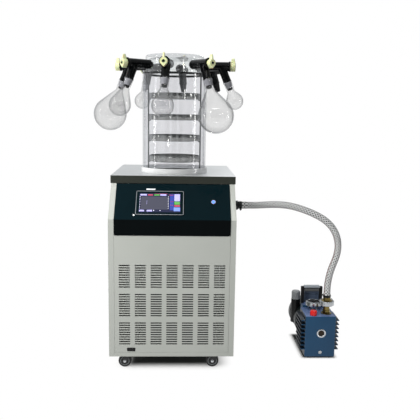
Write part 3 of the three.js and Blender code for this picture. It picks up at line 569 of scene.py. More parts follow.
for name, (start, aim, size, power, gloss) in lamps.items():
    clearSelection()
    bpy.ops.object.light_add(type="AREA", location=home + Vector(start))
    light = bpy.context.active_object
    light.name = name
    light.data.shape = "RECTANGLE"
    light.data.size, light.data.size_y = size
    light.data.energy = power
    light.data.color = linear("#fffefc")[:3]
    light.visible_glossy = gloss
    light.rotation_euler = (home + Vector(aim) - light.location).to_track_quat("-Z", "Y").to_euler()

studio = {
    "seen": 1.0, "ambient": 0.12, "mirrored": (0.05, 0.9), "front": (-0.82, -0.55), "right": 0.6, "level": (0.18, 0.4),
    "panels": [  # part of a turn from behind, seen from above, and how bright a panel shines
        (0.0, 0.03), (1.0, 0.03), (0.022, 0.03), (0.03, 0.9), (0.044, 0.9), (0.052, 0.04), (0.085, 0.05), (0.1, 0.7),
        (0.15, 0.9), (0.18, 0.3), (0.23, 0.3), (0.26, 0.9), (0.4, 0.9), (0.44, 0.35), (0.52, 0.9), (0.6, 0.9),
        (0.64, 0.4), (0.7, 0.9), (0.77, 0.85), (0.8, 0.25), (0.84, 0.25), (0.88, 0.8), (0.91, 0.7), (0.925, 0.05),
        (0.953, 0.04), (0.96, 0.8), (0.97, 0.8), (0.98, 0.03),
    ],
}
world = bpy.data.worlds.new("studio")
bpy.context.scene.world = world
world.use_nodes = True
sky = world.node_tree
sky.nodes.clear()
rays = addNode(sky, "LightPath").outputs
towards = addNode(sky, "SeparateXYZ", {"Vector": addNode(sky, "TexCoord").outputs["Generated"]}).outputs
front, mirrored = studio["front"], studio["mirrored"]
aside = addNode(sky, "MapRange", {  # what shines back from a gloss is a white studio, dark only in front
    "Value": towards["Y"], "From Min": front[0], "From Max": front[1], "To Min": mirrored[0], "To Max": mirrored[1],
})
rightSide = addNode(  # and dimmer to the right
    sky, "MapRange", {"Value": towards["X"], "From Min": 0.0, "From Max": 0.7, "To Min": 1.0, "To Max": studio["right"]}
)
bearing = addNode(sky, "Math", {0: towards["X"], 1: towards["Y"]}, operation="ARCTAN2")
share = addNode(sky, "MapRange", {"Value": bearing, "From Min": -math.pi, "From Max": math.pi})
panels = addNode(sky, "ValToRGB", {"Fac": share})
for k, (where, grey) in enumerate(studio["panels"]):
    stop = panels.color_ramp.elements[k] if k < 2 else panels.color_ramp.elements.new(where)
    stop.position, stop.color = where, (grey, grey, grey, 1)
height = addNode(sky, "Math", {0: towards["Z"]}, operation="ABSOLUTE")
level = addNode(
    sky, "MapRange", {"Value": height, "From Min": studio["level"][0], "From Max": studio["level"][1]},
    interpolation_type="SMOOTHSTEP",
)
ahead = addNode(  # upright panels stand round the object at eye level
    sky, "Mix", {0: level, 2: panels, 3: aside}, data_type="FLOAT"
)
gloss = addNode(sky, "Math", {0: ahead, 1: rightSide}, operation="MULTIPLY")
strength = addNode(sky, "Mix", {0: rays["Is Glossy Ray"], 2: studio["ambient"], 3: gloss}, data_type="FLOAT")
glow = addNode(sky, "Background", {"Color": linear("#f4f6f8"), "Strength": strength})
shown = addNode(sky, "Background", {"Color": linear("#ffffff"), "Strength": studio["seen"]})
mix = addNode(sky, "MixShader", {0: rays["Is Camera Ray"], 1: glow, 2: shown})
addNode(sky, "OutputWorld", {"Surface": mix})
bpy.context.scene.view_settings.view_transform = "Standard"
print("floor and lights set")


# Cabinet

powderCoat = finish(  # sprayed and baked: light grey-white, satin, with a fine orange peel
    "polyesterPowderCoat", "#b2b5b0", "#a8aca6", (0.38, 0.52), grain=2.4, strength=0.25, depth=0.08, blotch=160
)
keep(powderCoat, 0.5, "base_frame", "left_side_panel", "right_side_panel", "front_louvre_panel", "rear_panel")

brushedSteel = finish(  # ground with a belt along X: fine straight lines and a soft wide gleam
    "brushedStainlessSteel", "#dde0e1", "#d2d5d6", (0.3, 0.42), grain=1.1, strength=0.2, depth=0.04, metallic=0.75,
    blotch=120, stretch=(0.02, 1, 1),
)
tree = brushedSteel.node_tree
normal = addNode(tree, "SeparateXYZ", {"Vector": addNode(tree, "NewGeometry").outputs["Normal"]}).outputs
level = addNode(tree, "Math", {0: normal["Z"]}, operation="ABSOLUTE")
flat = addNode(tree, "MapRange", {"Value": level, "From Min": 0.3, "From Max": 0.9})
recolour(brushedSteel, flat, "#3c3f39", instead=False)  # painted shade: the plate's upright faces, its folded lip, are coloured darker than its top
keep(brushedSteel, 0.8, "top_plate", segments=3)

blackGlass = finish(  # polished blue-black acrylic, cut and folded, with faint smears
    "blackAcrylicFascia", "#020506", "#04090b", (0.04, 0.1), grain=30, strength=0.02, depth=0.2, blotch=110,
    Specular_IOR_Level=0.04,
)
tree = blackGlass.node_tree
normal = addNode(tree, "SeparateXYZ", {"Vector": addNode(tree, "NewGeometry").outputs["Normal"]}).outputs
tilt = addNode(tree, "MapRange", {"Value": normal["Z"], "From Min": 0.2, "From Max": 0.6})
recolour(blackGlass, tilt, "#06171c")  # painted light: faces that slope upwards are coloured a lighter teal than the upright band
keep(blackGlass, 0.6, "control_panel", segments=3)

mouldedBlack = finish(  # spark-textured ABS moulding, matt
    "mouldedBlackAbs", "#090a0b", "#0d0e0f", (0.4, 0.58), grain=0.9, depth=0.06, Specular_IOR_Level=0.3
)
keep(mouldedBlack, 0.5, "mains_inlet")
print("cabinet finished")

# The fascia's fittings stand on its slope: x to the right, y up the slope and z out of it.
buttonLow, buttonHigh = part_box("power_button")
outward = -Vector(joints["power_button_press"]["axis"])
upSlope = outward.cross(Vector((1, 0, 0)))
fold = (buttonLow + buttonHigh) / 2 + (outward * 1.5 - upSlope * 80) * mm
slope = Matrix((Vector((1, 0, 0)), upSlope, outward)).transposed().to_4x4()
slope.translation = Vector((home.x, fold.y, fold.z))


def onSlope(x, y):
    return slope @ Matrix.Translation(Vector((x, y, 0)) * mm)


satinAluminium = finish(  # fine-blasted and anodised: even grey with a soft gleam
    "satinAnodisedAluminium", "#b9bcc0", "#adb1b6", (0.28, 0.4), grain=0.7, strength=0.2, depth=0.03, metallic=1.0
)


def backlit(name, colour, strength):
    # a liquid crystal cell lit from behind: even colour with the faint grid of its cells, drawn at 1.2 mm to show
    material, tree, shader = newMaterial(name, colour, 0.25)
    coords = addNode(tree, "TexCoord").outputs["Object"]
    grid = addNode(
        tree, "TexWave", {"Vector": coords, "Scale": 0.628 / (1.2 * mm), "Distortion": 0.0},
        wave_type="BANDS", bands_direction="X",
    )
    dim = [c * 0.86 for c in linear(colour)[:3]] + [1]
    cells = addNode(tree, "Mix", {0: grid.outputs["Fac"], 6: linear(colour), 7: dim}, data_type="RGBA")
    connect(shader, {"Emission Strength": strength, "Emission Color": cells, "Base Color": cells})
    return material


screen = {
    "middle": (-49.5, 75), "size": (181, 110), "corner": 6, "rim": 2.4, "low": 1.8, "top": 5.8, "sunk": 0.7,
    "view": (156, 87),
    "tiles": [  # left, right, bottom and top from the screen's middle, and the colour
        (-71, 34, -31, 29, "grey"), (-75, -50, 33, 40, "lavender"), (-46, -27, 33, 39, "red"),
        (-22, -2, 33, 39, "green"), (1, 24, 33, 40, "lavender"), (38, 53, -34, 40, "blue"),
        (36, 51, 34, 38, "red"), (55, 76, 8, 40, "lavender"), (55, 76, -8, 6, "green"), (55, 76, -18, -10, "red"),
        (53, 77, -38, -21, "sky"), (40, 51, 4, 7, "red"), (40, 51, -13, -10, "red"), (-77, -58, -40, -33, "lavender"),
        (-48, -28, -40, -33, "lavender"), (-24, -21, -37, -33, "white"), (0, 3, -37, -34, "white"),
        (-49.4, -48.6, -8, 10, "lavender"), (-20, 28, 41.2, 42.2, "red"),
    ],
    "ticks": {"columns": (-76.5, 31), "count": 8, "pitch": 7.6, "start": -26, "size": (2.6, 2)},
    "shades": {
        "back": ("#0b1030", 0.6), "grey": ("#373846", 0.6), "lavender": ("#a6a2dc", 0.6), "red": ("#a83a58", 0.6),
        "green": ("#4f9444", 0.6), "blue": ("#26388c", 0.6), "sky": ("#6f88d4", 0.6), "white": ("#d8d8ec", 0.8),
    },
}
width, height = screen["size"]
rim, low, top, corner = (screen[key] for key in ("rim", "low", "top", "corner"))
inner = slab("inner", softRectangle(width - 2 * rim, height - 2 * rim, corner - rim), low - 1, top + 1)
border = carve(slab("rim", softRectangle(width, height, corner), low, top), inner)
border = rename(roundEdges(border, 0.5), "touchscreen_rim")
fit(border, onSlope(*screen["middle"]), satinAluminium, "screen_frame")

face = top - screen["sunk"]
glassEdge = softRectangle(width - 2 * rim - 0.2, height - 2 * rim - 0.2, 3.4)
cover = roundEdges(slab("touchscreen_glass", glassEdge, low, face), 0.25, 2)
fit(cover, onSlope(*screen["middle"]), blackGlass, "screen_frame", "touchscreen")

lit = {key: backlit("backlitCell" + key.title(), *shade) for key, shade in screen["shades"].items()}
viewX, viewY = screen["view"]
tiles = [dress(block("tile", (-viewX / 2, -viewY / 2, face), (viewX / 2, viewY / 2, face + 0.1)), lit["back"])]
marks, ticks = list(screen["tiles"]), screen["ticks"]
for k in range(ticks["count"]):
    for x in ticks["columns"]:
        y = ticks["start"] + k * ticks["pitch"]
        marks.append((x, x + ticks["size"][0], y, y + ticks["size"][1], "white"))
for left, right, bottom, upper, shade in marks:
    thick = 0.16 if shade == "grey" else 0.22
    tiles.append(dress(block("tile", (left, bottom, face), (right, upper, face + thick)), lit[shade]))
hand(place(join("touchscreen_picture", *tiles), onSlope(*screen["middle"])), "screen_frame")

button = {"middle": (154, 80), "radius": 9, "lens": 6.3, "top": 7.5, "length": 18}
radius, lens, top = button["radius"], button["lens"], button["top"]
foot = top - button["length"]
buttonPlace = onSlope(*button["middle"])
centre = buttonPlace.translation / mm
polished = finish(  # buffed bright, with faint turning lines
    "polishedStainlessSteel", "#c7c9cb", "#b9bdc0", (0.1, 0.2), grain=0.6, strength=0.08, depth=0.02, metallic=1.0
)
profile = [(0, foot), (radius, foot), (radius, top), (lens, top), (lens, top - 0.8), (0, top - 0.5)]
cap = dress(place(smooth(turned("power_button_cap", rounded(profile, 0.5), 48)), buttonPlace), polished)


def inLens(point, normal):
    away = point - centre
    rise = away.dot(outward)
    return (away - outward * rise).length < button["lens"] - 0.6 and rise > 5


hand(dressFaces(cap, backlit("litBlueLens", "#4a78ff", 1.6), inLens), "button_steel", "power_button", body="button")

label = {"middle": (-85.5, 140), "size": (35, 6.5), "low": 1.55, "top": 2.0}
printFilm = finish(  # blank printed film, satin
    "whitePolyesterFilm", "#e6e8ea", "#dfe2e5", (0.35, 0.45), grain=3, depth=0.02
)
tag = slab("blank_label", softRectangle(*label["size"], 1.2), label["low"], label["top"])
fit(roundEdges(tag, 0.15, 2), onSlope(*label["middle"]), printFilm, "screen_frame")

stud = {"middle": (-145, 20), "radius": 3.6, "low": 1.55, "top": 3}
radius, low, top = stud["radius"], stud["low"], stud["top"]
profile = [(0, low), (radius, low), (radius, top - 0.4), (0, top)]
turnedPart("fascia_stud", profile, 0.6, 32, onSlope(*stud["middle"]), printFilm, "screen_frame", closed=False)

catch = {"middle": (-155.5, 89), "size": (31, 14), "proud": 1.3, "border": 1.8, "sunk": 0.9}
latch = slab("panel_catch", softRectangle(*catch["size"], catch["border"]), 0.02, catch["proud"])
latch = roundEdges(recess(latch, catch["border"], catch["sunk"]), 0.25, 2)
forward = Matrix.Rotation(quarter, 4, "X")  # what stands up points forwards
x, z = catch["middle"]
fit(latch, at(x, 0, z) @ forward, mouldedBlack, "inlet_black")
print("fascia fitted")

# Chamber, all of it turned about one upright axis

chamberLow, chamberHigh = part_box("chamber_cylinder")
chamberAxis = Matrix.Translation(((chamberLow + chamberHigh) / 2).xy.to_3d())

castAcrylic = clearFinish(  # clear cast tube: colourless face on, blue-grey where the wall is seen along its thickness
    "castAcrylicTube", "#b4bbbf", "#f9f9fa", 0.03, falloff=6.0, veil=0.03, rim=0.75, ior=1.49, waver=90, strength=0.02
)
mouldedAcrylic = clearFinish(  # thicker moulding with a faint lilac body colour
    "mouldedAcrylicDrum", "#d4d6d9", "#fcfdfd", 0.04, falloff=3.6, veil=0.05, rim=0.7, ior=1.49, waver=70, strength=0.03
)
translucentSilicone = clearFinish(  # cast silicone rubber: milky, wet-looking, bright along its rims
    "translucentSilicone", "#f7f9fa", "#fdfdfd", 0.05, falloff=2.0, veil=0.4, rim=0.85, ior=1.45, waver=14, strength=0.5
)
blackRubber = finish(  # compression-moulded rubber with a glossy skin
    "mouldedBlackRubber", "#020304", "#040506", (0.1, 0.2), grain=3.0, strength=0.1, depth=0.12, blotch=40,
    Specular_IOR_Level=0.16,
)
drawnSteel = finish(  # spun sheet: fine turning lines round the axis, bright with dark reflections
    "spunStainlessSteel", "#c4c6c5", "#a6a9aa", (0.12, 0.24), grain=1.4, strength=0.15, metallic=1.0, blotch=50,
    stretch=(0.05, 0.05, 1),
)

chamber = {"inner": 124, "outer": 130, "foot": 755.6, "top": 1145.4, "edge": 0.8}
inner, outer, foot, top, edge = chamber.values()
profile = [(inner, foot), (outer, foot), (outer, top), (inner, top)]
turnedPart("clear_cylinder", profile, edge, 96, chamberAxis, castAcrylic, "chamber_acrylic", "chamber_cylinder")

gasket = {"inner": 117, "outer": 137, "low": 749.3, "seat": 755.3, "top": 771.3, "cup": 130.3}
inner, outer, low, seat, top, cup = gasket.values()
profile = [(inner, low), (outer, low), (outer, top), (cup, top), (cup, seat), (inner, seat)]
turnedPart("base_ring", profile, 2.2, 96, chamberAxis, translucentSilicone, "gasket_rubber", "base_gasket")

seal = {"inner": 117, "outer": 130, "low": 1145.6, "top": 1148.6, "skirt": (120.4, 123.6), "hem": 1140.6}
inner, outer, low, top, skirt, hem = seal.values()
profile = [
    (inner, top), (inner, low), (skirt[0], low), (skirt[0], hem), (skirt[1], hem), (skirt[1], low), (outer, low),
    (outer, top),
]
turnedPart("manifold_seal", profile, 0.7, 96, chamberAxis, blackRubber, "valve_rubber")

drum = {
    "inner": 108, "outer": 118, "flange": 130, "foot": 1148.8, "flangeTop": 1157.3, "lid": 1205, "top": 1219,
    "shoulder": 7, "hole": 11.3, "port": 1178,
}
inner, outer, flange, foot, flangeTop, lid, top, shoulder, hole, portHeight = drum.values()
profile = [(inner, foot), (flange, foot), (flange, flangeTop), (outer + 1.5, flangeTop), (outer, flangeTop + 1.5)]
for k in range(7):
    angle = quarter * k / 6
    profile.append((outer - shoulder * (1 - math.cos(angle)), top - shoulder * (1 - math.sin(angle))))
profile += [(0, top), (0, lid), (inner - 5, lid), (inner, lid - 5), (inner, foot)]
head = turned("manifold_head", profile, 96)
ports = [joints[f"valve_knob_{k + 1}_turn"] for k in range(8)]
holes = []
for port in ports:
    out, level = Vector(port["axis"]), Vector((0, 0, portHeight))
    holes.append(rod("hole", out * (inner - 6) + level, out * (outer + 6) + level, hole, 28))
fit(carve(head, *holes), chamberAxis, mouldedAcrylic, "chamber_acrylic", "manifold_drum")

trap = {
    "bore": 95, "rim": 111, "neck": 98.8, "body": 122, "foot": 486, "shelf": 746.7, "seat": 749.3, "top": 751.3,
    "floor": 514,
}
bore, rim, neck, body, foot, shelf, seat, top, deep = trap.values()
profile = [
    (0, foot), (body - 3, foot), (body, foot + 3), (body, shelf), (neck, shelf), (neck, seat), (rim, seat),
    (rim, top - 0.5), (rim - 0.6, top), (bore + 1, top), (bore, top - 1), (bore, deep + 6), (bore - 1.8, deep + 1.8),
    (bore - 6, deep), (0, deep),
]
fit(turned("cold_trap_can", profile, 96), chamberAxis, drawnSteel, "trap_steel", "cold_trap")
print("chamber turned")

rackSteel = finish(  # drawn stainless rod, darker than the trays, with fine lengthwise lines
    "drawnRackWire", "#6b6d6c", "#4c4e4e", (0.18, 0.32), grain=1.2, strength=0.15, depth=0.03, metallic=1.0, blotch=40,
    stretch=(1, 1, 0.06),
)
rack = {
    "inner": 99.6, "outer": 109.6, "low": 751.6, "high": 755.6, "rod": 3, "circle": 106.6, "top": 1141,
    "angles": (0, 180), "bracket": (10, 14, 7),
}
inner, outer, low, high, thick, circle, top, angles, (reach, across, tall) = rack.values()
profile = [(inner, low), (outer, low), (outer, high), (inner, high)]
parts = [ringOf("ring", profile, 0.7, 72)]
trayFeet = [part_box(f"tray_{k + 1}")[0].z / mm for k in range(4)]
for angle in angles:
    turn = Matrix.Rotation(math.radians(angle), 4, "Z")
    post = turned("post", rounded([(0, low + 1), (thick, low + 1), (thick, top), (0, top)], 0.8), 20)
    parts.append(place(post, turn @ Matrix.Translation((circle * mm, 0, 0))))
    for foot in trayFeet:
        under = foot - 0.3
        bracket = block("bracket", (circle - reach, -across / 2, under - tall), (circle, across / 2, under))
        narrowed(bracket, lambda point, normal: normal.x < -0.9, (1, 1, 0.35), (circle - reach, 0, under))
        parts.append(place(roundEdges(bracket, 0.5, 2), turn))
fit(join("tray_holder", *parts), chamberAxis, rackSteel, "rack_steel", "tray_rack")

tray = {"radius": 103, "tall": 24, "wall": 1.2, "corner": 3, "bead": 1.9}
radius, tall, wall, corner, bead = tray.values()
profile = [
    (0, 0), (radius - corner, 0), (radius - corner * 0.3, corner * 0.3), (radius, corner), (radius, tall - 0.5),
    (radius - 0.5, tall), (radius - bead + 0.5, tall), (radius - bead, tall - 0.5), (radius - bead, tall - 1.6),
    (radius - wall, tall - 2.3), (radius - wall, corner), (radius - corner, wall), (0, wall),
]
trayMirror = finish(  # deep-drawn sheet, bright rolled, with drawing marks; painted reflections: light and dark patches in its colour
    "pressedStainlessSteel", "#aeafac", "#80817e", (0.07, 0.18), grain=5, strength=0.25, depth=0.25, metallic=1.0,
    blotch=26, stretch=(1, 1, 0.15),
)
dish = dress(smooth(turned("dish", profile, 96)), trayMirror)
for k, foot in enumerate(trayFeet):
    copied = copyOf(dish, f"steel_tray_{k + 1}", chamberAxis @ Matrix.Translation((0, 0, foot * mm)))
    hand(copied, "tray_steel", f"tray_{k + 1}")
discard(dish)
print("rack and trays placed")

# Valves, knobs and flasks. In a port's frame x runs outwards along the valve and z is up.

def portPlace(port):
    out, up = Vector(port["axis"]), Vector((0, 0, 1))
    frameOfPort = Matrix((out, up.cross(out), up)).transposed().to_4x4()
    frameOfPort.translation = chamberAxis.translation + Vector((0, 0, port["pos_m"][2]))
    return frameOfPort


portPlaces = [portPlace(port) for port in ports]
toX = Matrix(((0, 0, 1, 0), (1, 0, 0, 0), (0, 1, 0, 0), (0, 0, 0, 1)))  # what stands up lies along x


def copyToPorts(piece, name, slotName, replaced, body="cabinet"):
    for k, port in enumerate(portPlaces):
        hand(copyOf(piece, f"{name}_{k + 1}", port), slotName, f"{replaced}_{k + 1}", body=body.format(k + 1))
    discard(piece)


valve = {
    "spigot": 11, "start": 110, "shoulder": 118.3, "radius": 18, "ring": 20.5, "ringStart": 220.3, "end": 226.3,
    "legAt": 190, "lean": math.radians(22.5), "leg": 16.2, "legEnd": 65, "plug": (15.4, 10.4), "plugEnd": 100,
    "bore": 6, "stem": 8.7, "stemStart": 170,
}
(
    spigot, start, shoulder, radius, ring, ringStart, end, legAt, lean, leg, legEnd, plug, plugEnd, valveBore, stem,
    stemStart,
) = valve.values()
along, down = math.sin(lean), math.cos(lean)
legPlace = Matrix(((down, 0, along, legAt * mm), (0, -1, 0, 0), (along, 0, -down, 0), (0, 0, 0, 1)))
profile = [
    (0, start), (spigot, start), (spigot, shoulder), (radius - 3.5, shoulder), (radius - 1, shoulder + 1.4),
    (radius, shoulder + 4), (radius, ringStart - 1.2), (ring, ringStart + 0.6), (ring, end), (0, end),
]
barrel = place(turned("barrel", rounded(profile, 0.9), 48), toX)
profile = [
    (0, 2), (radius - 0.2, 2), (radius - 0.2, 14), (leg + 0.5, 26), (leg, 38), (leg, legEnd - 5),
    (leg + 0.9, legEnd - 4), (leg + 0.9, legEnd), (plug[0], legEnd), (plug[1], plugEnd), (0, plugEnd),
]
tee = unite(barrel, place(turned("leg", rounded(profile, 0.8), 48), legPlace))
legBore = place(rod("bore", (0, 0, 0), (0, 0, plugEnd + 2), valveBore, 24), legPlace)
tee = carve(
    tee, rodX("room", stemStart, end + 2, stem), rodX("inlet", start - 2, stemStart + 2, valveBore, 24), legBore
)
copyToPorts(dress(smooth(tee, 40), blackRubber), "valve", "valve_rubber", "valve_body")
print("valves placed")

knob = {
    "inner": 226.6, "depth": 20, "radius": 14, "tip": 20, "fin": 32, "finWidth": 7, "finDepth": 12, "well": 6,
    "wellDepth": 7, "groove": (8.6, 11.8, 1.4), "stem": 8.4, "stemStart": 170.3,
}
inner, depth, radius, tip, tall, finWidth, finDepth, well, wellDepth, groove, stem, stemStart = knob.values()
tipAngle = math.acos(radius / tip)
finAngle = math.asin(finWidth / 2 / radius)


def arc(start, end, count=18):
    angles = [start + (end - start) * k / count for k in range(count + 1)]
    return [(knob["radius"] * math.cos(angle), knob["radius"] * math.sin(angle)) for angle in angles]


half, face, neck = finWidth / 2, inner + depth, tall - 3.5
crown = [(half, tall - 3), (half * 0.7, tall - 0.8), (half * 0.3, tall)]
outline = [(0, -tip)] + arc(tipAngle - quarter, quarter - finAngle)
outline += crown + [(-x, y) for x, y in crown[::-1]] + arc(quarter + finAngle, 3 * quarter - tipAngle)
grip = cutAcross(slab("grip", outline, inner, face), (0, neck, 0), (0, 1, 0))
narrowed(grip, lambda point, normal: point.y > neck, (1, 1, finDepth / depth), (0, 0, inner + depth / 2))
grip = place(roundEdges(grip, 1.2), toX)
grooveIn, grooveOut, grooveDeep = groove
low = face - grooveDeep
profile = [(grooveIn, low), (grooveOut, low), (grooveOut, face + 1), (grooveIn, face + 1), (grooveIn, low)]
grip = carve(grip, place(turned("groove", profile, 48), toX))
grip = unite(grip, rodX("stem", stemStart, inner + 1, stem))
window = place(rod("window", (0, 0, -12), (0, 0, 12), valveBore, 24), legPlace)
grip = carve(grip, rodX("well", face - wellDepth, face + 1, well), window)
naturalPlastic = finish(  # moulded without pigment but a little yellow-green: waxy, soft highlights
    "naturalPolypropylene", "#dde0b4", "#cfd4a2", (0.3, 0.42), grain=4, strength=0.1, depth=0.1, blotch=14,
    Subsurface_Weight=0.12, Subsurface_Scale=0.004,
)


def inWell(point, normal):
    return face - wellDepth - 0.2 < point.x < face - 0.6 and point.yz.length < well + 0.1


# painted shade: the faces inside the knob's well take the black moulding, so the hole looks dark
dressFaces(dress(smooth(grip), naturalPlastic), mouldedBlack, inWell)
copyToPorts(grip, "knob_grip", "knob_plastic", "valve_knob", "knob_{}")
print("knobs placed")

flaskSizes = {"1000ml": (67.6, 146), "250ml": (42.2, 109), "100ml": (35, 82)}  # bulb's radius, and centre below the rim
flask = {
    "rim": 65.3, "neck": 36, "throat": 44, "inside": (15.7, 10.557), "sleeve": (17.6, 16.2), "below": (13.2, 15.2),
    "glass": 2, "ground": (2.4, 27), "rings": 6,
}
boroGlass = clearFinish(  # lampblown: clear with a faint grey body, wavy highlights and dark rims
    "blownBorosilicateGlass", "#33383b", "#f8f8f8", 0.02, falloff=4.6, veil=0.01, rim=0.9, ior=1.5, waver=18,
    strength=0.5,
)
groundGlass = finish(  # ground taper: frosted grey, matt, with faint grinding rings
    "groundGlassJoint", "#96979d", "#76777e", (0.4, 0.6), grain=1.6, depth=0.1, blotch=12, stretch=(0.2, 0.2, 1)
)


def bulbLine(neckEnd, radius, centre, throat, steps=22):
    # from where the straight shoulder leaves the bulb down to its lowest point
    reach = math.hypot(neckEnd, centre - throat)
    start = math.atan2(neckEnd, centre - throat) + math.acos(radius / reach)
    turns = [start + (math.pi - start) * k / steps for k in range(steps)]
    return [(radius * math.sin(turn), centre - radius * math.cos(turn)) for turn in turns] + [(0, centre + radius)]


def blownFlask(name, radius, centre):
    rim, neck, throat, (top, end), (wide, narrow), (bore, shoulder), glass, (low, high), rings = flask.values()
    taper = (top - end) / neck
    inside = [(top, 0)]
    for k in range(rings):  # the ground taper shows its grinding rings
        for share, depth in ((0.0, 0.0), (0.5, 0.0), (0.6, 0.35), (0.9, 0.35)):
            down = low + (high - low) * (k + share) / rings
            inside.append((top - taper * down + depth, down))
    inside += [(top - taper * high, high), (end + 0.2, neck - 2), (bore, neck + 2), (bore, throat)]
    inside += bulbLine(bore, radius - glass, centre, throat)
    outside = [
        (wide, 0), (wide + 0.9, 1.4), (wide + 0.9, 5.2), (wide - 0.6, 6.8), (narrow, neck - 6), (shoulder, throat - 2),
    ] + bulbLine(shoulder, radius, centre, throat)
    line = [(across, down + rim) for across, down in inside[::-1] + outside]
    piece = dress(smooth(turned(name, line, 64), 50), boroGlass)
    return dressFaces(
        piece, groundGlass, lambda point, normal: low < point.z - rim < high and point.xy.length < top + 0.2
    )


for size, (radius, centre) in flaskSizes.items():
    blown = blownFlask("blown", radius, centre)
    for name in nodes:
        if name.startswith(f"flask_{size}_"):
            low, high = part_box(name)
            middle = (low + high) / 2
            port = min(portPlaces, key=lambda matrix: (matrix @ Vector((0.22, 0, 0)) - middle).xy.length)
            hand(copyOf(blown, name.replace("flask_", "glass_flask_"), port @ legPlace), "flask_glass", name)
    discard(blown)
bpy.context.scene.cycles.transparent_max_bounces = 32  # flasks and chamber are seen through each other
print("flasks hung")

# Casters

blackZinc = finish(  # stove-painted pressed steel, semi-gloss, slightly uneven
    "blackPaintedSteel", "#141617", "#1b1d1e", (0.28, 0.42), grain=2.5, strength=0.2, depth=0.08
)
tyreRubber = finish(  # moulded rubber tread, matt and slightly dusty grey where it rolls
    "blackTyreRubber", "#191a1a", "#2a2b2b", (0.55, 0.75), grain=1.2, strength=0.35, depth=0.1, blotch=9
)
wheelGrey = finish(  # moulded polypropylene wheel core, light grey
    "greyWheelCore", "#757a7b", "#666c6d", (0.35, 0.5), grain=1.5, strength=0.2
)
caster = {
    "count": 4, "radius": 25, "half": 10, "bore": 3.3, "dish": 1.5, "core": 19, "ring": (15.2, 17.8, 0.8),
    "rim": 19.2, "tread": 3, "cheek": 13.7, "washer": 5.4, "bolt": 3.8, "boltOut": 3.4,
}
(
    count, radius, half, bore, dished, core, (ringIn, ringOut, ringDeep), rim, tread, cheek, washer, bolt, out,
) = caster.values()


def cheekHeight(away):
    return half - dished * (1 - away / core)


side = [
    (bore, cheekHeight(bore)), (ringIn - 0.5, cheekHeight(ringIn) - ringDeep), (ringIn, cheekHeight(ringIn)),
    (ringOut, cheekHeight(ringOut)), (ringOut + 0.5, cheekHeight(ringOut) - ringDeep), (rim, half),
    (radius - tread, half), (radius - 0.9, half - 0.9), (radius, half - tread),
]
profile = side + [(away, -height) for away, height in side[::-1]] + side[:1]
wheel = dress(smooth(turned("wheel", profile, 72)), tyreRubber)
dressFaces(
    wheel, wheelGrey,
    lambda point, normal: ringIn - 0.4 < point.xy.length < ringOut + 0.4 and abs(point.z) > half - tread,
)
profile = [(0, -0.6), (washer, -0.6), (washer, 0.9), (bolt, 0.9), (bolt, out - 0.6), (bolt * 0.5, out), (0, out)]
profile = rounded(profile, 0.4)
for k in range(1, count + 1):
    low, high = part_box(f"caster_wheel_{k}")
    middle = (low + high) / 2
    copied = copyOf(wheel, f"caster_tyre_{k}", Matrix.Translation(middle) @ forward)
    hand(copied, "caster_tyre", f"caster_wheel_{k}", body=f"wheel_{k}")
    bolts = []
    for face in (-1, 1):
        seat = Matrix.Translation(middle + Vector((0, face * cheek * mm, 0)))
        bolts.append(place(turned("bolt", profile, 24), seat @ Matrix.Rotation(-quarter * face, 4, "X")))
    bolts = dress(smooth(join(f"caster_axle_bolts_{k}", *bolts)), polished)
    hand(bolts, "caster_steel", body=f"caster_{k}")
    keep(blackZinc, 0.5, f"caster_fork_{k}")
discard(wheel)
keep(mouldedBlack, 0.7, "caster_brake", segments=3)
print("casters finished")

# Inside the cabinet

shadedFinStack = finish(  # pressed aluminium fins seen edge on, with fine upright stripes; painted shade: coloured near black so the cabinet's inside looks dark through the louvres
    "aluminiumFins", "#1d1f22", "#141618", (0.4, 0.55), grain=2.0, strength=0.6, depth=0.6, metallic=0.8, blotch=60,
    stretch=(1, 1, 0.02),
)
keep(shadedFinStack, 0.6, "condenser")
keep(mouldedBlack, 0.3, "condenser_fan")
castBlack = finish(  # thick enamel over a drawn steel can, glossy with soft dents
    "blackStovedEnamel", "#0d0e0f", "#131516", (0.2, 0.32), grain=12, strength=0.2, depth=0.4
)
keep(castBlack, 4, "compressor", segments=3)
print("inner parts finished")

# Vacuum fittings

brass = finish(  # lathe-turned brass, dulled by handling: warm, with fine rings
    "turnedBrass", "#8d7b45", "#6f6440", (0.2, 0.36), grain=0.8, strength=0.2, depth=0.04, metallic=1.0, blotch=18
)
castClamp = finish(  # die-cast and tumbled: bright, with rounded dull patches
    "tumbledAluminiumClamp", "#c2c5c7", "#9da1a4", (0.16, 0.3), grain=2.2, strength=0.25, depth=0.1, metallic=1.0,
    blotch=16,
)
steelTube = finish(  # lathe-turned and left bright, with dark reflections between the rings
    "turnedStainlessSteel", "#b9bcbe", "#85888a", (0.14, 0.26), grain=0.9, strength=0.15, depth=0.03, metallic=1.0,
    blotch=14,
)
darkSteel = finish(  # blackened spring steel with a trace of oil
    "oiledDarkSteel", "#2a2c2d", "#18191a", (0.22, 0.38), grain=1.2, strength=0.2, depth=0.04, metallic=0.8, blotch=10
)
fitting = {
    "bore": 9, "tube": 12.9, "flangeIn": (0.3, 3.3), "slant": 2.6, "ferrule": 15.4, "nut": 12.5, "foot": 8,
    "band": (15.2, 9, 1.3),  # the hose band: inside radius, width and thickness
}
ways = {
    # reach, start and thickness of the clamp, radius of flange and clamp, start of the band, ribs on the ferrule
    "port": (57, 11, 13, 25.5, 20, 28, 0), "portTurn": math.radians(-35),
    "intake": (69, 36, 20, 22, 32, 70.5, 2), "intakeTurn": math.radians(215), "handleUp": 9.3,
    "pushedOn": 29.6, "endRadius": 15,  # the end of the hose that is pushed over the port's barb
}


def clampScrew(across, level, low, high, width):
    # a screw through the clamp's lugs, and its wings, which reach from low to high about the screw's middle
    middle, half = Vector((across, 0, level)), Vector((0, 13, 0))
    screw = roundEdges(rod("screw", middle - half, middle + half, 2.2, 20), 0.5)
    return screw, roundEdges(block("wings", middle + Vector(low), middle + Vector(high)), width)


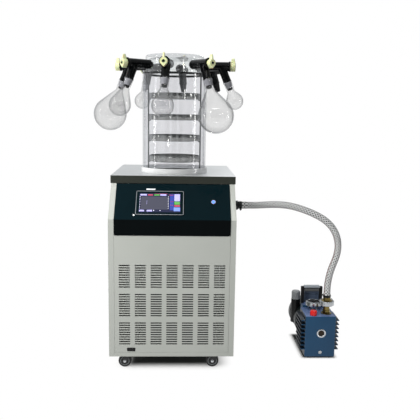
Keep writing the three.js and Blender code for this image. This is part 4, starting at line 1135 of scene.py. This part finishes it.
def vacuumFitting(name, size, matrix, slotName, tubeFinish, clampFinish, endFinish):
    # base flange and nut, then a clamp with its wing nut, then the hose's ferrule and its band
    reach, start, thick, flange, radius, bandLow, ribs = size
    bore, tube, (flangeLow, flangeHigh), slant, ferrule, nutTall, foot, (inside, across, proud) = fitting.values()
    middle, top = start + thick / 2, start + thick
    profile = [
        (bore, -foot), (tube, -foot), (tube, flangeLow), (flange, flangeLow), (flange, flangeHigh), (tube, flangeHigh),
        (tube, start - 2.4), (radius - 8, start - 1.4), (radius - 8, middle - 0.2), (bore, middle - 0.2),
    ]
    lower = ringOf("lower", profile, 0.6)
    low, nutTall = flangeHigh + 1, min(nutTall, start - flangeHigh - 3)
    nut = roundEdges(rod("nut", (0, 0, low), (0, 0, low + nutTall), tube + 4, 6), 1.1)
    nut = carve(nut, rod("core", (0, 0, 0), (0, 0, 60), tube - 1))
    fit(join(f"{name}_tube", lower, nut), matrix, tubeFinish, slotName, name)

    wide = radius - 1.6
    profile = [
        (wide - 5.6, start), (wide - slant, start), (wide, start + 2), (wide, top - 2), (wide - slant, top),
        (wide - 5.6, top), (wide - 6.2, middle + 2), (wide - 6.2, middle - 2),
    ]
    parts = [ringOf("band", profile, 0.9)]
    for side in (-5, 5):
        lug = block("lug", (wide - 4, side - 2.6, start + 1.4), (radius + 1, side + 2.6, top - 1.4))
        parts.append(roundEdges(lug, 1.4))
    parts += clampScrew(radius - 2.6, middle, (-5, 8.5, -8.5), (4.4, 12, 8.5), 1.4)
    parts.append(roundEdges(block("hinge", (0.4 - radius, -6, start - 1), (4 - wide, 6, top + 1)), 1.8))
    parts.append(roundEdges(rod("pin", (-wide - 0.4, 0, start - 2.4), (-wide - 0.4, 0, top + 2.4), 1.9, 16), 0.5))
    fit(join(f"{name}_clamp", *parts), matrix, clampFinish, "fitting_steel")

    stub = reach if ribs else top + 2.6
    profile = [(bore, middle + 0.2), (radius - 9, middle + 0.2), (radius - 9, top + 1), (ferrule, top + 2.4)]
    pitch = (reach - top - 4) / max(ribs, 1)
    for k in range(ribs):
        for share, cut in ((0.7, 0), (0.76, 1), (0.92, 1), (1, 0)):
            profile.append((ferrule - cut, top + 2.6 + (k + share) * pitch))
    profile += [(ferrule, stub - 1), (ferrule - 0.6, stub), (bore, stub)]
    turnedPart(f"{name}_ferrule", profile, 0.3, 56, matrix, endFinish, "fitting_steel")

    low, high, outer, worn = bandLow, bandLow + across, inside + proud, inside + proud / 2
    profile = [
        (inside, low), (outer, low), (outer, low + 2), (worn, low + 2.8), (worn, high - 2.8), (outer, high - 2),
        (outer, high), (inside, high),
    ]
    parts = [ringOf("band", profile, 0.3)]
    parts.append(roundEdges(block("housing", (-5, -outer - 4, low + 0.6), (5, 1.5 - outer, high - 0.6)), 0.9))
    level = low + across / 2
    parts.append(roundEdges(rod("worm", (-8, -outer - 2, level), (8, -outer - 2, level), 2.8, 12), 0.5))
    fit(join(f"{name}_hose_band", *parts), matrix, darkSteel, "fitting_steel")


start, end = route[0], route[-1]
portAt = Matrix.Translation((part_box("right_side_panel")[1].x, start.y, start.z)) @ toX
portAt = portAt @ Matrix.Rotation(ways["portTurn"], 4, "Z")
vacuumFitting("vacuum_port", ways["port"], portAt, "fitting_steel", steelTube, darkSteel, darkSteel)
pushedOn = Vector((ways["pushedOn"] * mm, 0, 0))
onBarb = tubeAlong("hose_end_on_port", [start - pushedOn, start - pushedOn / 2, start], ways["endRadius"])
hand(dress(onBarb, braidedHose("clearBraidedPvcEnd", pushedOn.x)), "hose_pvc")
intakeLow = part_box("pump_handle")[0].z - ways["handleUp"] * mm
intakeAt = Matrix.Translation((end.x, end.y, intakeLow)) @ Matrix.Rotation(ways["intakeTurn"], 4, "Z")
vacuumFitting("pump_intake", ways["intake"], intakeAt, "intake_brass", brass, castClamp, brass)
print("vacuum fittings joined")

# Vacuum pump

blueEnamel = finish(  # stove enamel over cast aluminium: deep blue, satin, with the casting's grain under it
    "blueEnamelledCasting", "#1c4869", "#173f60", (0.3, 0.44), grain=2.2, strength=0.35, depth=0.12, blotch=60,
    Specular_IOR_Level=0.3,
)
motorEnamel = finish(  # sprayed black enamel on the motor's shell, satin with fine texture
    "blackMotorEnamel", "#101719", "#18201f", (0.3, 0.45), grain=1.6, depth=0.08
)
capacitorPlastic = finish(  # moulded light grey can, satin
    "greyCapacitorCan", "#a7abae", "#9da1a4", (0.35, 0.48), grain=1.2, strength=0.2
)
redPlastic = finish(  # moulded nylon, saturated red with a waxy gloss
    "redNylon", "#e01612", "#c91310", (0.25, 0.38), grain=1.5, strength=0.15
)
gripGrey = finish(  # moulded grey rubber grip, matt
    "greyGripRubber", "#a4abb3", "#949ba3", (0.45, 0.6), grain=1.0, depth=0.06
)
oilGlass = finish(  # glass with dark amber oil behind it
    "oilSightGlass", "#160f08", "#33240f", (0.04, 0.08), grain=6, strength=0.02, blotch=9, Specular_IOR_Level=0.2
)
pump = {
    "x": 606, "half": 62.5, "front": 118, "back": 240, "bottom": 8, "top": 181, "edge": 3.5,
    "neck": (52.5, 239, 286, 20, 190), "fins": (8, 16, 126, 236, 4, 36, 17.5),
}
(
    pumpX, half, pumpFront, back, bottom, pumpTop, edge, (neckHalf, neckFront, neckBack, neckLow, neckTop),
    (count, reach, finFront, finBack, thick, start, pitch),
) = pump.values()
reach += half

tree = blueEnamel.node_tree
normal = addNode(tree, "SeparateXYZ", {"Vector": addNode(tree, "NewGeometry").outputs["Normal"]}).outputs
tilt = addNode(tree, "MapRange", {"Value": normal["Z"], "From Min": 0.6, "From Max": 0.95})
recolour(blueEnamel, tilt, "#5b6f97")  # painted light: faces that look up are coloured a paler, greyer blue
point = addNode(tree, "SeparateXYZ", {"Vector": addNode(tree, "TexCoord").outputs["Object"]}).outputs
offset = addNode(tree, "Math", {0: point["X"], 1: home.x + pumpX * mm}, operation="SUBTRACT")
away = addNode(tree, "Math", {0: offset}, operation="ABSOLUTE")
beside = addNode(tree, "Math", {0: away, 1: (half - 0.3) * mm}, operation="GREATER_THAN")
facing = addNode(tree, "Math", {0: normal["Y"], 1: -0.6}, operation="GREATER_THAN")
shadedSides = addNode(tree, "Math", {0: beside, 1: facing}, operation="MULTIPLY")
recolour(blueEnamel, shadedSides, "#0a1520")  # painted shade: the sides and the fins, except faces that look forwards, are coloured near black

box = block("box", (pumpX - half, pumpFront, bottom), (pumpX + half, back, pumpTop))
neck = block("neck", (pumpX - neckHalf, neckFront, neckLow), (pumpX + neckHalf, neckBack, neckTop))
parts = [roundEdges(box, edge, 4), roundEdges(recess(neck, 3, 0), edge, 4)]
fin = block("fin", (pumpX - reach, finFront, 0), (pumpX + reach, finBack, thick))
fin = useModifier(roundEdges(fin, 1.2, 2), "TRIANGULATE")
for k in range(count):
    parts.append(copyOf(fin, "fin", Matrix.Translation((0, 0, (start + k * pitch) * mm))))
discard(fin)
casting = place(smooth(join("pump_oil_box", *parts), 30), at(0, 0))
hand(dress(casting, blueEnamel), "pump_blue", "pump_body")


def rubberFeet(name, profile, places, slotName):
    feet = [place(turned("foot", rounded(profile, 0.8), 28), at(x, y)) for x, y in places]
    hand(dress(smooth(join(name, *feet)), blackRubber), slotName)


foot = {"radius": 9, "tall": 22, "apart": 40.5, "rows": (136, 268)}
radius, tall, apart, rows = foot.values()
profile = [
    (0, 0), (radius - 1.5, 0), (radius, 1.5), (radius, tall - 8), (radius - 2.5, tall - 6), (radius - 2.5, tall),
    (0, tall),
]
rubberFeet("pump_feet", profile, [(pumpX + side * apart, y) for side in (-1, 1) for y in rows], "pump_blue")

outlet = {"middle": (596, 221), "neck": 15, "clamp": 33, "low": 194, "high": 215, "turn": math.radians(165)}
middle, neck, wide, low, high, turn = outlet.values()
outAt = at(*middle)
profile = [
    (0, pumpTop - 1), (neck + 4, pumpTop - 1), (neck + 4, pumpTop + 2.5), (neck, pumpTop + 3.5), (neck, low - 2.5),
    (wide - 7, low - 1), (wide - 7, low + 4), (0, low + 4),
]
turnedPart("pump_outlet", profile, 0.6, 56, outAt, steelTube, "pump_blue", closed=False)
profile = [
    (wide - 8.5, low), (wide - 3.5, low), (wide - 1, low + 2.2), (wide - 1, high - 2.6), (wide - 3.5, high - 0.6),
    (wide - 8.5, high - 0.6),
]
parts = [ringOf("band", profile, 1.0)]
for side in (-5, 5):
    lug = block("lug", (wide - 7, side - 2.4, low + 1.2), (wide, side + 2.4, high - 1.6))
    parts.append(roundEdges(lug, 1.2))
parts += clampScrew(wide - 4.5, (low + high) / 2, (-4.5, 8.5, -4.8), (4.2, 11.5, 4.8), 1.1)
fit(join("pump_outlet_clamp", *parts), outAt @ Matrix.Rotation(turn, 4, "Z"), castClamp, "fitting_steel")
profile = [
    (0, low + 4.4), (wide - 9, low + 4.4), (wide - 9, high - 3), (wide - 11, high - 2.2), (wide - 12, high - 4),
    (9, high - 4), (8, high - 1), (6.5, high - 0.2), (0, high - 0.2),
]
turnedPart("pump_outlet_cap", profile, 0.7, 56, outAt, mouldedBlack, "handle_black", closed=False)

sight = {"middle": (610, 109), "radius": 18.5, "window": 13.6}
(x, z), radius, window = sight.values()
sightAt = at(x, pumpFront, z) @ forward
profile = [
    (window - 1, -2), (radius, -2), (radius, 0.4), (radius - 2.4, 1.3), (window + 0.8, 1.3), (window, 0.5),
    (window - 1, 0.1),
]
turnedPart("sight_glass_ring", profile, 0.3, 56, sightAt, polished, "fitting_steel")
profile = [(0, -1.8), (window - 0.6, -1.8), (window - 0.6, -0.2), (window - 2.5, 0.3), (0, 0.6)]
turnedPart("sight_glass", profile, 0.2, 48, sightAt, oilGlass, "fitting_steel", closed=False)

drain = {"middle": (608, 28), "radius": 7.5, "low": -1, "proud": 1.4, "border": 2.6, "sunk": 0.9}
(x, z), radius, low, high, border, sunk = drain.values()
plug = recess(rod("drain_plug", (0, 0, low), (0, 0, high), radius, 6), border, sunk)
fit(roundEdges(plug, 0.3, 2), at(x, pumpFront, z) @ forward, castClamp, "fitting_steel")

lid = {"middle": (578, 136), "radius": 14, "tall": 20, "ribs": 16, "rib": 0.9, "spigot": 8.5, "spigotDeep": 8}
middle, radius, tall, ribs, rib, spigot, deep = lid.values()
outline = []
for k in range(ribs * 4):
    angle, away = math.tau * k / (ribs * 4), radius - (rib if k % 4 < 2 else 0)
    outline.append((away * math.cos(angle), away * math.sin(angle)))
knurled = slab("knurled", outline, 0.3, tall - 3)
editFaces(knurled, upperFace)
for rise, share in ((1.6, 0.93), (1.4, 0.82)):
    lift(rise)
    bpy.ops.transform.resize(value=(share, share, 1), center_override=Vector((0, 0, tall - 1.4)) * mm)
closeEdit(knurled)
stem = roundEdges(rod("spigot", (0, 0, -deep), (0, 0, 0.6), spigot, 28), 0.8)
cover = join("filler_cap_lid", roundEdges(knurled, 0.35, 2), stem)
fit(cover, at(*middle, pumpTop), redPlastic, "cap_red", "pump_filler_cap", body="filler_cap")

handle = {
    "middle": (596, 270), "half": 46, "thick": 7, "low": 190.3, "top": 264, "bar": 9, "post": 13, "gripHalf": 34,
    "gripThick": 11, "proud": 4, "seat": 5,
}
(x, y), half, thick, low, top, bar, post, gripHalf, gripThick, proud, seat = handle.values()
arch = block("handle_arch", (x - half, y - thick, low), (x + half, y + thick, top))
gap = block("gap", (x - half + post, y - 20, low - 5), (x + half - post, y + 20, top - bar))
arch = roundEdges(carve(arch, roundEdges(gap, 6, 4)), 2.2, 4)
fit(arch, at(0, 0), mouldedBlack, "handle_black", "pump_handle")
grip = block("handle_grip", (x - gripHalf, y - gripThick, top - seat), (x + gripHalf, y + gripThick, top + proud))
fit(roundEdges(grip, 2.4, 4), at(0, 0), gripGrey, "handle_black")

motor = {
    "axis": 98, "start": 286.3, "length": 165, "radius": 72, "cowl": (125, 157, 3), "end": 66, "vents": 6, "pitch": 7,
    "stand": ((564, 391.3, 7), (648, 415.3, 68)), "pad": (9, 32),
}
axis, start, length, radius, (cowlStart, cowlEnd, proud), end, vents, pitch, (low, high), (pad, apart) = motor.values()
profile = [
    (0, 0), (radius, 0), (radius, 6), (radius - 1.5, 7), (radius - 1.5, 12), (radius, 13), (radius, cowlStart),
    (radius + proud, cowlStart + 1.5), (radius + proud, cowlEnd), (end, length),
]
for k in range(vents):
    ring = end - 4 - k * pitch
    profile += [(ring, length), (ring - 0.6, length - 2.4), (ring - 3, length - 2.4), (ring - 3.6, length)]
shell = turned("shell", rounded(profile + [(0, length)], 0.7), 72)
shell = place(smooth(shell), at(pumpX, start, axis) @ Matrix.Rotation(-quarter, 4, "X"))
stand = narrowed(block("stand", low, high), upperFace, (0.8, 1, 1), (pumpX, low[1], high[2]))
stand = smooth(place(roundEdges(stand, 2.5), at(0, 0)))
hand(dress(join("motor_shell", shell, stand), motorEnamel), "motor_black", "pump_motor")
places = [(pumpX + side * apart, (low[1] + high[1]) / 2) for side in (-1, 1)]
padTop = low[2] + 3

slateAbs = finish(  # the terminal box's moulding: dark blue-grey, satin
    "slateGreyAbs", "#56657a", "#46546a", (0.35, 0.5), grain=1.0, strength=0.25
)
terminal = {"low": (570, 290.3, 138), "high": (640, 348.3, 236), "groove": (13.4, 12, 1.2), "lid": 4}
low, high, (grooveLow, grooveHigh, deep), lidTall = terminal.values()
top = high[2]
case = block("motor_terminal_box", low, high)
for down in (grooveHigh, grooveLow):
    cutAcross(case, (0, 0, top - down), (0, 0, 1))
editFaces(case, lambda point, normal: abs(normal.z) < 0.1 and top - grooveLow < point.z < top - grooveHigh)
bpy.ops.mesh.extrude_region_shrink_fatten(TRANSFORM_OT_shrink_fatten={"value": -deep * mm})
case = dress(smooth(place(roundEdges(closeEdit(case), 2.2), at(0, 0))), slateAbs)
hand(dressFaces(case, mouldedBlack, lambda point, normal: point.z > top - lidTall), "motor_black")

capacitor = {"middle": (545, 352.3), "radius": 20, "bottom": 78, "sleeve": 184, "top": 220}
middle, radius, bottom, sleeve, top = capacitor.values()
profile = [
    (0, bottom), (radius, bottom), (radius, sleeve - 1), (radius - 0.8, sleeve), (radius - 0.8, top - 5),
    (radius - 4, top), (0, top),
]
can = dress(place(smooth(turned("motor_capacitor", rounded(profile, 0.6), 48)), at(*middle)), capacitorPlastic)
hand(dressFaces(can, mouldedBlack, lambda point, normal: point.z < sleeve), "motor_black")  # a black sleeve below
profile = [(0, 0), (pad - 1.5, 0), (pad, 1.5), (pad, padTop), (0, padTop)]
rubberFeet("motor_feet", profile, places, "motor_black")
print("pump built")
